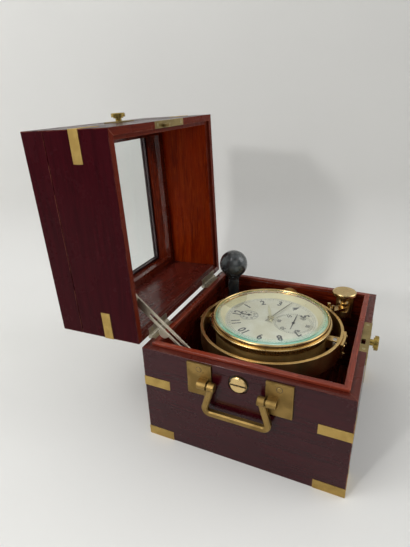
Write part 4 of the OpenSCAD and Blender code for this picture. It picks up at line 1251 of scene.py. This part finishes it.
    def rim_screws(self) -> None:
        """Adds the screws of the hinge leaves and of the lock plate."""
        rim, up = self.rim, (0, 0, 1)
        leaves = Piece("base_hinge_screws", SCREW_BRASS, "case", "brass_grey")
        for side in (-1, 1):
            for step in rim.steps:
                at = (side * rim.hinge_x + step, rim.leaf_y, self.rim_z)
                leaves.screw(facing(at, up, 20 * step), rim.radius, rim.proud)
        leaves.finish_piece()
        lock = Piece("lock_plate_screws", SCREW_BRASS, "case", "brass_grey")
        for side in (-1, 1):
            at = (side * rim.plate_x, rim.plate_y, self.rim_z)
            lock.screw(facing(at, up, 30), rim.radius, rim.proud)
        for side in (-1, 1):
            at = (side * self.lock_x, self.lock_y, self.lock_z)
            lock.screw(facing(at, (0, -1, 0), 50), self.lock_screw_r, self.lock_screw_proud)
        lock.finish_piece()

    def build(self) -> None:
        """Builds the base."""
        self.boards()
        self.metal()
        self.bails()
        self.plate_screws()
        self.rim_screws()


@dataclass
class UpperCase:
    """The middle tier and glazed lid, which stand open at rest."""

    inner: tuple[Colour, Colour, Colour] = (srgb(108, 26, 5), srgb(150, 44, 7), srgb(168, 62, 14))
    # A darker copy of the inner colours for the back board: painted shade on the tier's inside back.
    shaded: tuple[Colour, Colour, Colour] = (srgb(70, 22, 16), srgb(92, 32, 24), srgb(104, 40, 30))
    gloss: float = 0.04
    arris: float = 0.5
    rim: RimScrews = RimScrews()
    rim_z: float = 103.5

    def boards(self) -> None:
        """Dresses the boards, rails, inner frame, beads and pane."""
        dark, mid, light = self.inner
        soft = {"gloss": self.gloss, "coat": 0.02}
        shades = {"inner_dark": dark, "inner_mid": mid, "inner_light": light, **soft}
        dress("tier_front_board", WoodFinish("Tier wood x", Grain.ALONG_X, Tier.UPPER, **shades), self.arris)
        # The back board's inner face gets the darker copy, which is painted shade.
        dark, mid, light = self.shaded
        dull = {"inner_dark": dark, "inner_mid": mid, "inner_light": light, "gloss": 0.3, "coat": 0.2}
        dress("tier_back_board", WoodFinish("Tier wood back painted shade", Grain.ALONG_X, Tier.UPPER, **dull), self.arris)
        for node in ("tier_left_board", "tier_right_board"):
            dress(node, WoodFinish("Tier wood z", Grain.ALONG_Z, Tier.UPPER, **shades), self.arris)
        rails = WoodFinish("Lid wood", Grain.ALONG_X, Tier.UPPER, ring_frame=True, **soft)
        moulding = WoodFinish("Frame wood", Grain.ALONG_X, Tier.UPPER, all_inside=True, ring_frame=True,
                              coat=0.4)
        dress("lid_rails", rails, self.arris)
        dress("tier_inner_frame", moulding, 0.4)
        dress("lid_beads", BEAD, 0.4)
        dress("lid_pane", PANE)

    def metal(self) -> None:
        """Dresses the straps, hinges, strike plate, button and stay."""
        dress("tier_corner_straps", STRAP_BRASS, 0.12)
        dress("tier_hinge_leaves", AGED_BRASS, 0.1)
        dress("lid_hinge_leaves", AGED_BRASS, 0.1)
        dress("tier_lock_plates", LOCK_BRASS, 0.12)
        dress("lid_latch_button", BUTTON_BRASS, 0.15)
        dress("stay_bracket", AGED_BRASS, 0.2)
        dress("stay_arm", AGED_BRASS, 0.2)

    def screws(self) -> None:
        """Adds the screws of the hinges and strike plate."""
        rim, inward = self.rim, opened(0, 0, 0) - opened(0, 0, 1)
        leaves = Piece("tier_hinge_screws", SCREW_BRASS, "tier", "brass_grey")
        for side in (-1, 1):
            for step in rim.steps:
                at = opened(side * rim.hinge_x + step, rim.leaf_y, self.rim_z)
                leaves.screw(facing(at, inward, 25 * step), rim.radius, rim.proud)
        for side in (-1, 1):
            at = opened(side * rim.plate_x, rim.plate_y, self.rim_z)
            leaves.screw(facing(at, inward, 40), rim.radius, rim.proud)
        leaves.finish_piece()

    def build(self) -> None:
        """Builds the upper case."""
        self.boards()
        self.metal()
        self.screws()


@dataclass
class Gimbal:
    """The gimbal ring with its pivots, plates and lock."""

    plate_reach: float = 74.8
    screw_r: float = 1.7
    screw_proud: float = 1.0
    screw_x: float = 9.0
    screw_z: float = 4.2
    flange_x: float = 80.5
    flange_screws_r: float = 9.0
    flange_screw_r: float = 1.5
    flange_screw_proud: float = 0.4
    head_r: float = 7.8
    head_proud: float = 1.6
    head_web: float = 0.3
    head_under: float = -1.35
    slot_half: float = 0.85
    slot_inset: float = 0.4
    # Heights of a thin dark strip low in each screw's slot: painted shade.
    slot_shade: tuple[float, float] = (0.5, 0.62)
    shank_r: float = 4.0
    shank_end: float = -19.5
    pivot_r: float = 2.5
    pivot_end: float = -26.0
    recess_r: float = 9.48
    recess_top: float = -0.1
    recess_floor: float = -1.48
    recess_bore: float = 4.2
    wall_t: float = 0.06
    floor_t: float = 0.04
    nut_reach: float = 63.4
    nut_r: float = 5.4
    nut_t: float = 3.2
    nut_sides: int = 12

    def dressed(self) -> None:
        """Dresses the gimbal's nodes."""
        dress("gimbal_ring", RING_BRASS, 0.35)
        dress("ring_bearing_plates", RING_BRASS, 0.3)
        dress("gimbal_flanges", RING_BRASS, 0.25)
        dress("gimbal_lock_bracket", RING_BRASS, 0.25)
        dress("gimbal_lock_knob", POLISHED, 0.2)
        dress("bowl_trunnions", RING_BRASS, 0.3)

    def pivot_screws(self) -> None:
        """Turns the two slotted pivot screws, and lays painted shade in their counterbores and low in their
        slots.
        """
        screws = Piece("pivot_screws_turned", POLISHED, "case", "brass_polished")
        shade_liner = Piece("pivot_recess_painted_shade", SHADOW, "case", "brass_dull")
        reach, shank, pivot, half = self.head_r, self.shank_r, self.pivot_r, self.slot_half
        web, under = self.head_web, self.head_under
        turned = [(0, web), (reach, web), (reach, under), (shank, under - 0.05), (shank, self.shank_end),
                  (pivot, self.shank_end), (pivot, self.pivot_end + 0.1), (0, self.pivot_end)]
        end = reach - self.slot_inset
        slot = [(-end, -half), (end, -half), (end, half), (-end, half)]
        wall, top, floor, bore = self.recess_r, self.recess_top, self.recess_floor, self.recess_bore
        inside, raised = wall - self.wall_t, floor + self.floor_t
        # A thin dark lining over the wall and floor of each counterbore: painted shade.
        shade_cup = [(inside, top), (inside, raised), (bore, raised), (bore, floor), (wall, floor), (wall, top)]
        for side in (-1, 1):
            place = facing((side * HALF_CASE, 0, GIMBAL_Z), (side, 0, 0))
            screws.screw(place, reach, self.head_proud, 2 * half)
            screws.lathe(turned, 48, place)
            shade_liner.prism(slot, *self.slot_shade, place)
            shade_liner.lathe(shade_cup, 64, place, closed=True)
        screws.finish_piece(replaces=("gimbal_pivot_screws",))
        shade_liner.finish_piece()

    def nuts(self) -> None:
        """Adds the bright nuts that lock the bowl's trunnions."""
        piece = Piece("trunnion_nuts", STEEL, "bowl", "pivot_steel")
        turns = [k * math.tau / self.nut_sides for k in range(self.nut_sides)]
        outline = [(math.cos(turn) * self.nut_r, math.sin(turn) * self.nut_r) for turn in turns]
        for side in (-1, 1):
            place = facing((0, side * self.nut_reach, GIMBAL_Z), (0, side, 0))
            piece.prism(outline, 0.0, self.nut_t, place)
        piece.finish_piece(angle=20)

    def screws(self) -> None:
        """Adds the screws of the bearing plates and flanges."""
        plates = Piece("bearing_plate_screws", POLISHED, "ring", "brass_polished")
        for side in (-1, 1):
            for up in (1, -1):
                for x in (-self.screw_x, self.screw_x):
                    y = side * math.sqrt(self.plate_reach ** 2 - x ** 2)
                    outward = (x / self.plate_reach, y / self.plate_reach, 0)
                    place = facing((x, y, GIMBAL_Z + up * self.screw_z), outward, 30 * x)
                    plates.screw(place, self.screw_r, self.screw_proud)
        plates.finish_piece()
        flanges = Piece("flange_screws", POLISHED, "case", "brass_polished")
        for side in (-1, 1):
            for angle in (90, 210, 330):
                y = self.flange_screws_r * math.cos(math.radians(angle))
                z = GIMBAL_Z + self.flange_screws_r * math.sin(math.radians(angle))
                place = facing((side * self.flange_x, y, z), (-side, 0, 0), angle)
                flanges.screw(place, self.flange_screw_r, self.flange_screw_proud)
        flanges.finish_piece()

    def build(self) -> None:
        """Builds the gimbal."""
        self.dressed()
        self.pivot_screws()
        self.nuts()
        self.screws()


@dataclass
class Bowl:
    """The bowl with its bezel, crystal, dial and movement."""

    bezel_r: float = 60.9
    bezel_top: float = 108.7
    bowl_rim_z: float = 98.0
    seat_r: float = 54.0
    seat_lip: float = 1.5
    seat_drop: float = 4.6
    glass_bore: float = 56.6
    crystal_z: float = 105.2
    coin_teeth: int = 168
    coin_depth: float = 0.18
    coin_low: float = 7.2
    coin_high: float = 4.6
    coin_edge: float = 0.5
    coin_under: tuple[float, float] = (1.1, 0.6)
    coin_over: tuple[float, float] = (0.1, 0.7)
    neck: float = 1.6
    foot: tuple[float, float] = (0.2, 0.3)
    shoulder_r: float = 57.9
    shoulder: tuple[float, float] = (1.3, 3.2)
    bevel_in: float = 51.02
    bevel_out: float = 56.5
    bevel_low: float = 107.1246
    bevel_under: float = 1.18
    glass_top: float = 110.3
    glass_t: float = 1.0
    glass_steps: int = 160
    pane_r: float = 53.6
    pane_top: float = 108.2

    def dressed(self) -> None:
        """Dresses the bowl's nodes."""
        dress("bowl_shell", BOWL_BRASS)
        dress("reflector_ring", REFLECTOR)
        dress("dial_plate", DIAL)
        dress("winding_shutter", RING_BRASS, 0.2)
        dress("balance_spring", BLUED, angle=60)
        for node in ("pillar_plate", "top_plate", "minute_wheel", "fourth_wheel", "third_wheel",
                     "centre_wheel", "escape_wheel", "balance_wheel", "fusee", "mainspring_barrel"):
            dress(node, MOVEMENT_BRASS)

    def bezel(self) -> None:
        """Turns the bezel with its rolled shoulder and coin edge."""
        top, reach, edge, neck = self.bezel_top, self.bezel_r, self.coin_edge, self.bezel_r - self.neck
        seat_z = self.crystal_z - self.seat_drop
        rim_z, low, high = self.bowl_rim_z, top - self.coin_low, top - self.coin_high
        below = [(self.seat_r - self.seat_lip, seat_z), (self.seat_r, rim_z),
                 (neck - self.foot[0], rim_z), (neck, rim_z + self.foot[1]),
                 (neck, low - self.coin_under[0]), (reach - edge, low - self.coin_under[1])]
        coined = [(reach, low), (reach, high)]
        above = [(reach - edge, high + edge), (neck - self.coin_over[0], high + self.coin_over[1])]
        across, up = self.shoulder
        roll = arc((self.shoulder_r, top - up), across, up, 0, 165, 12)
        inside = [(self.glass_bore, self.crystal_z), (self.seat_r, self.crystal_z), (self.seat_r, seat_z)]
        notched = range(len(below), len(below) + len(coined))

        def coin(angle: float, index: int) -> float:
            """Works out the depth of the coin edge.

            Args:
                angle: Angle round the bezel.
                index: The profile point's number.

            Returns:
                The change in radius.
            """
            if index not in notched:
                return 0.0
            return self.coin_depth * (0.5 * math.cos(angle * self.coin_teeth) - 0.5)

        piece = Piece("bezel_turned", POLISHED, "bowl", "brass_polished")
        piece.lathe(below + coined + above + roll + inside, self.coin_teeth * 4, radius_at=coin, closed=True)
        piece.finish_piece(replaces=("bezel",))

    def glass(self) -> None:
        """Builds the crystal, a flat pane under a wide bevel that shows the glass's tint."""
        reach, top, thick = self.pane_r, self.pane_top, self.glass_t
        pane = Piece("crystal_flat", CRYSTAL, "bowl", "crystal_glass")
        pane.lathe([(0, top), (reach, top), (reach, top - thick), (0, top - thick)], self.glass_steps)
        pane.finish_piece(replaces=("crystal",))
        near, far, rise, low = self.bevel_in, self.bevel_out, self.glass_top, self.bevel_low
        edge = Piece("crystal_bevel", EDGE_TINT, "bowl", "crystal_glass")
        edge.lathe([(near, rise), (far, low), (far, low - thick), (near + self.bevel_under, rise - thick),
                    (near, rise - thick)], self.glass_steps, closed=True)
        edge.finish_piece(angle=20)

    def build(self) -> None:
        """Builds the bowl."""
        self.dressed()
        self.bezel()
        self.glass()


@dataclass(frozen=True)
class Track:
    """A printed circle of strokes on the dial."""

    centre_y: float
    count: int
    inner: float
    outer: float
    width: float
    z: float
    every: int = 0
    long_inner: float = 0.0

    def print_on(self, piece: Piece) -> None:
        """Adds the strokes, of which one in every few may be longer and heavier.

        Args:
            piece: The piece that holds the print.
        """
        middle = Matrix.Translation((0, self.centre_y, self.z))
        for index in range(self.count):
            is_long = self.every and index % self.every == 0
            low = self.long_inner if is_long else self.inner
            half = self.width * (0.9 if is_long else 0.5)
            place = middle @ Matrix.Rotation(index * math.tau / self.count, 4, "Z")
            corners = ((low, -half), (self.outer, -half), (self.outer, half), (low, half))
            piece.bm.faces.new([piece.bm.verts.new(place @ Vector((x, y, 0))) for x, y in corners])


@dataclass(frozen=True)
class Figures:
    """Numbers that stand round a dial with their tops outwards."""

    centre_y: float
    radius: float
    height: float
    z: float
    squeeze: float
    bold: float = 0.045

    def print_on(self, piece: Piece, labels: Sequence[tuple[float, str]]) -> None:
        """Adds the numbers.

        Args:
            piece: The piece that holds the print.
            labels: Each number with its clockwise angle from 12, in degrees.
        """
        for degrees, text in labels:
            turn = math.radians(degrees)
            at = (self.radius * math.sin(turn), self.centre_y + self.radius * math.cos(turn), self.z)
            place = Matrix.Translation(at) @ Matrix.Rotation(-turn, 4, "Z")
            piece.glyphs(text, self.height, place, self.squeeze, self.bold)


@dataclass
class Dial:
    """The printing on the silvered dial and the hands over it."""

    print_z: float = 101.53
    numeral_r: float = 35.6
    numeral_h: float = 9.2
    track: tuple[float, float] = (42.6, 44.8)
    seconds_y: float = -23.4
    seconds_r: float = 19.3
    seconds_band: float = 1.7
    seconds_turn: float = -90.0
    tail_z: float = 101.8
    tail_w: float = 0.7
    tail_t: float = 0.25
    tail_taper: float = 0.6
    tail_reach: float = 12.5
    reserve_y: float = 23.4
    reserve_r: float = 9.7
    sunk: float = 0.2
    collet_r: float = 3.3
    collet_top: float = 105.0
    collet_h: float = 1.4
    collet_bore: float = 1.5

    def circle(self, piece: Piece, centre_y: float, radius: float, width: float, z: float) -> None:
        """Adds a printed circle.

        Args:
            piece: The piece that holds the print.
            centre_y: Middle of the circle.
            radius: Radius of its middle line.
            width: Width of the line.
            z: Height of the print.
        """
        half = width / 2
        piece.lathe([(radius - half, z), (radius + half, z)], 180, Matrix.Translation((0, centre_y, 0)))

    def main_track(self) -> None:
        """Prints the hour numbers and the minute track."""
        z = self.print_z
        inner, outer = self.track
        hours = [(30.0 * hour, str(hour)) for hour in range(1, 13) if hour != 6]
        numbers = Piece("dial_numbers", INK, "bowl", "dial_silver")
        Figures(0, self.numeral_r, self.numeral_h, z, squeeze=0.82).print_on(numbers, hours)
        numbers.finish_piece(solid=False)
        track = Piece("dial_track", TRACK_INK, "bowl", "dial_silver")
        for reach in self.track:
            self.circle(track, 0, reach, 0.2, z)
        Track(0, 60, inner, outer, width=0.3, z=z, every=5, long_inner=inner - 1.6).print_on(track)
        track.finish_piece(solid=False)

    def seconds_dial(self) -> None:
        """Prints the seconds dial, whose track lies round the sunk middle."""
        z, low = self.print_z, self.print_z - self.sunk
        outer, inner = self.seconds_r, self.seconds_r - self.seconds_band
        tens = [(60.0 * k, str(k * 10)) for k in range(1, 7)]
        dial = Piece("seconds_print", INK, "bowl", "dial_silver")
        for radius in (outer, inner):
            self.circle(dial, self.seconds_y, radius, 0.22, z)
        seconds = Track(self.seconds_y, 60, inner, outer, width=0.26, z=z, every=5, long_inner=inner)
        seconds.print_on(dial)
        Figures(self.seconds_y, inner - 3.3, height=4.2, z=low, squeeze=0.9).print_on(dial, tens)
        fives = Track(self.seconds_y, 12, inner - 1.2, inner - 0.5, width=0.3, z=low, every=12,
                      long_inner=inner - 1.2)
        fives.print_on(dial)
        dial.finish_piece(solid=False)

    def reserve_dial(self) -> None:
        """Prints the dial for the hours of reserve."""
        low, outer = self.print_z - self.sunk, self.reserve_r
        hours_left = [(45.0 * k, str(k * 8)) for k in range(8)]
        dial = Piece("reserve_print", INK, "bowl", "dial_silver")
        self.circle(dial, self.reserve_y, outer, 0.2, low)
        hours = Track(self.reserve_y, 48, outer - 1.3, outer, width=0.24, z=low, every=6,
                      long_inner=outer - 2.0)
        hours.print_on(dial)
        Figures(self.reserve_y, outer - 3.6, height=2.3, z=low, squeeze=0.85).print_on(dial, hours_left)
        dial.finish_piece(solid=False)

    def hands(self) -> None:
        """Dresses the four hands, and adds the minute hand's collet and the seconds hand's tail."""
        dress("minute_hand", OLIVE, 0.06)
        dress("hour_hand", LUME, 0.08)
        dress("seconds_hand", BLUED, 0.05)
        dress("reserve_hand", BLUED, 0.05)
        reach, top, bore = self.collet_r, self.collet_top, self.collet_bore
        seat_z, edge_z = top - self.collet_h, top - self.collet_h / 2
        collet = Piece("minute_collet", COLLET, "minute", "brass_polished")
        collet.lathe([(0, top), (reach - 2.0, top), (reach - 0.4, edge_z), (reach, seat_z + 0.3),
                      (reach, seat_z), (bore, seat_z), (bore, edge_z), (0, edge_z)], 48)
        collet.finish_piece()
        half, end = self.tail_w / 2, self.tail_reach
        tip = half * self.tail_taper
        turn = Matrix.Rotation(math.radians(self.seconds_turn), 4, "Z")
        place = Matrix.Translation((0, self.seconds_y, self.tail_z)) @ turn
        tail = Piece("seconds_tail", BLUED, "seconds", "blued_steel")
        tail.prism([(-half, 0), (half, 0), (tip, -end), (-tip, -end)], 0.0, self.tail_t, place)
        tail.finish_piece()

    def build(self) -> None:
        """Builds the dial."""
        self.main_track()
        self.seconds_dial()
        self.reserve_dial()
        self.hands()


@dataclass
class WindingKey:
    """The winding key with its black ball grip."""

    grip_arris: float = 0.3
    shank_arris: float = 0.2

    def build(self) -> None:
        """Dresses the key."""
        dress("winding_key_grip", GRIP, self.grip_arris)
        dress("winding_key_shank", POLISHED, self.shank_arris)


@dataclass(frozen=True)
class Lamp:
    """A soft square lamp, with its place and size in metres and its power in watts."""

    name: str
    place: Point
    size: float
    power: float

    def hang(self, aim: Vector) -> None:
        """Adds the lamp.

        Args:
            aim: The point that it looks at.
        """
        data = bpy.data.lights.new(self.name, "AREA")
        data.size = self.size
        data.energy = self.power
        obj = bpy.data.objects.new(self.name, data)
        bpy.context.scene.collection.objects.link(obj)
        at = Vector(self.place)
        look = (aim - at).to_track_quat("-Z", "Y").to_matrix().to_4x4()
        obj.matrix_world = Matrix.Translation(at) @ look


@dataclass
class Studio:
    """The pale sweep, the soft lamps and the camera.

    The camera is given in millimetres and degrees, the sweep and the lamps in metres.
    """

    eye: Point = (-357.389, -98.058, 314.286)
    yaw: float = 64.443
    pitch: float = 23.496
    roll: float = 2.056
    focal_px: float = 407.817
    frame_h_px: float = 547.0
    sensor_mm: float = 36.0
    sweep_reach: float = 1.6
    sweep_back: float = 0.16
    sweep_bend: float = 0.17
    sweep_steps: int = 16
    sweep_half_w: float = 2.2
    sweep_h: float = 2.4
    floor_colour: Colour = srgb(230, 229, 225)
    floor_shade: float = 0.96
    aim: Point = (0.0, 0.05, 0.12)
    lamps: tuple[Lamp, ...] = (
        Lamp("key", (-0.75, 0.55, 1.15), size=0.7, power=6.2),
        Lamp("fill", (-0.9, -0.7, 0.8), size=0.9, power=2.17),
        Lamp("side", (-1.209, 0.4231, 0.666), size=0.1, power=4.2),
        Lamp("front", (0.5, -1.2, 1.0), size=0.9, power=4.6),
    )
    air: Colour = (0.96, 0.98, 1.0, 1.0)
    world_level: float = 1.08
    room_level: float = 0.08
    seen_level: float = 0.72

    def level_axes(self) -> tuple[Vector, Vector]:
        """Works out the camera's level directions.

        Returns:
            The directions ahead and to the right.
        """
        yaw = math.radians(self.yaw)
        return Vector((math.sin(yaw), math.cos(yaw), 0.0)), Vector((math.cos(yaw), -math.sin(yaw), 0.0))

    def camera(self) -> None:
        """Sets the camera at the photograph's viewing angle."""
        pitch, roll = math.radians(self.pitch), math.radians(self.roll)
        level, right = self.level_axes()
        ahead = level * math.cos(pitch) - Vector((0.0, 0.0, math.sin(pitch)))
        down = ahead.cross(right)
        across = right * math.cos(roll) + down * math.sin(roll)
        drop = down * math.cos(roll) - right * math.sin(roll)
        data = bpy.data.cameras.new("camera")
        data.sensor_fit = "VERTICAL"
        data.sensor_height = self.sensor_mm
        data.lens = self.focal_px / self.frame_h_px * self.sensor_mm
        data.clip_start = 0.01
        obj = bpy.data.objects.new("camera", data)
        bpy.context.scene.collection.objects.link(obj)
        basis = Matrix((across, -drop, -ahead)).transposed().to_4x4()
        obj.matrix_world = Matrix.Translation(Vector(self.eye) * MM) @ basis
        bpy.context.scene.camera = obj

    def sweep_line(self) -> list[tuple[float, float]]:
        """Works out the side view of the sweep: floor, quarter bend and wall.

        Returns:
            Places ahead of the middle and up.
        """
        back, bend = self.sweep_back, self.sweep_bend
        line = [(-self.sweep_reach, 0.0), (back, 0.0)]
        for step in range(1, self.sweep_steps + 1):
            angle = math.radians(90 * step / self.sweep_steps)
            line.append((back + bend * math.sin(angle), bend * (1 - math.cos(angle))))
        return [*line, (back + bend, self.sweep_h)]

    def sweep_paper(self) -> bpy.types.Material:
        """Makes the sweep's pale paper, which the camera sees through from behind.

        Returns:
            The material.
        """
        material, g, surface, place = new_material("Sweep paper")
        tone = g.remap(g.noise(place, 2.5, 3.0), 0.3, 0.7)
        shade = tuple(c * self.floor_shade for c in self.floor_colour[:3]) + (1.0,)
        g.tree.links.new(g.blend(tone, self.floor_colour, shade), surface.inputs["Base Color"])
        surface.inputs["Roughness"].default_value = 0.55
        behind = g.add("ShaderNodeNewGeometry").outputs["Backfacing"]
        seen = g.add("ShaderNodeLightPath").outputs["Is Camera Ray"]
        hidden = g.math("MULTIPLY", behind, seen)
        g.tree.links.new(g.math("SUBTRACT", 1.0, hidden), surface.inputs["Alpha"])
        return material

    def sweep(self) -> None:
        """Adds the floor that curves up into the backdrop, across the camera's view."""
        ahead, right = self.level_axes()
        line = self.sweep_line()
        mesh = bpy.data.meshes.new("sweep")
        points = []
        for run, height in line:
            for side in (-self.sweep_half_w, self.sweep_half_w):
                points.append(ahead * run + right * side + Vector((0, 0, height)))
        faces = [(2 * k, 2 * k + 1, 2 * k + 3, 2 * k + 2) for k in range(len(line) - 1)]
        mesh.from_pydata([tuple(p) for p in points], [], faces)
        mesh.shade_smooth()
        obj = bpy.data.objects.new("sweep", mesh)
        bpy.context.scene.collection.objects.link(obj)
        mesh.materials.append(self.sweep_paper())

    def room(self) -> None:
        """Lights the room, darker on the camera's side, and shows it evenly pale to the camera."""
        world = bpy.data.worlds.new("room")
        bpy.context.scene.world = world
        world.use_nodes = True
        g = Graph(world.node_tree)
        background = world.node_tree.nodes["Background"]
        background.inputs["Color"].default_value = self.air
        around = g.add("ShaderNodeTexCoord").outputs["Generated"]
        ahead = self.level_axes()[0]
        level = g.remap(g.dot(around, -ahead), -0.1, 0.7, self.world_level, self.room_level)
        path = g.add("ShaderNodeLightPath").outputs
        seen = g.math("MAXIMUM", path["Is Camera Ray"], path["Is Transmission Ray"])
        paled = g.math("MULTIPLY", g.math("SUBTRACT", self.seen_level, level), seen)
        g.tree.links.new(g.math("ADD", level, paled), background.inputs["Strength"])

    def build(self) -> None:
        """Builds the studio."""
        bpy.context.scene.view_settings.view_transform = "Standard"
        self.camera()
        self.sweep()
        for lamp in self.lamps:
            lamp.hang(Vector(self.aim))
        self.room()


def main() -> None:
    """Builds every sub-assembly and the studio."""
    logging.basicConfig(level=logging.INFO, format="%(name)s: %(message)s")
    for part in (Studio(), BaseCase(), UpperCase(), Gimbal(), Bowl(), Dial(), WindingKey()):
        LOG.info("building %s", type(part).__name__)
        part.build()


if __name__ == "__main__":
    main()
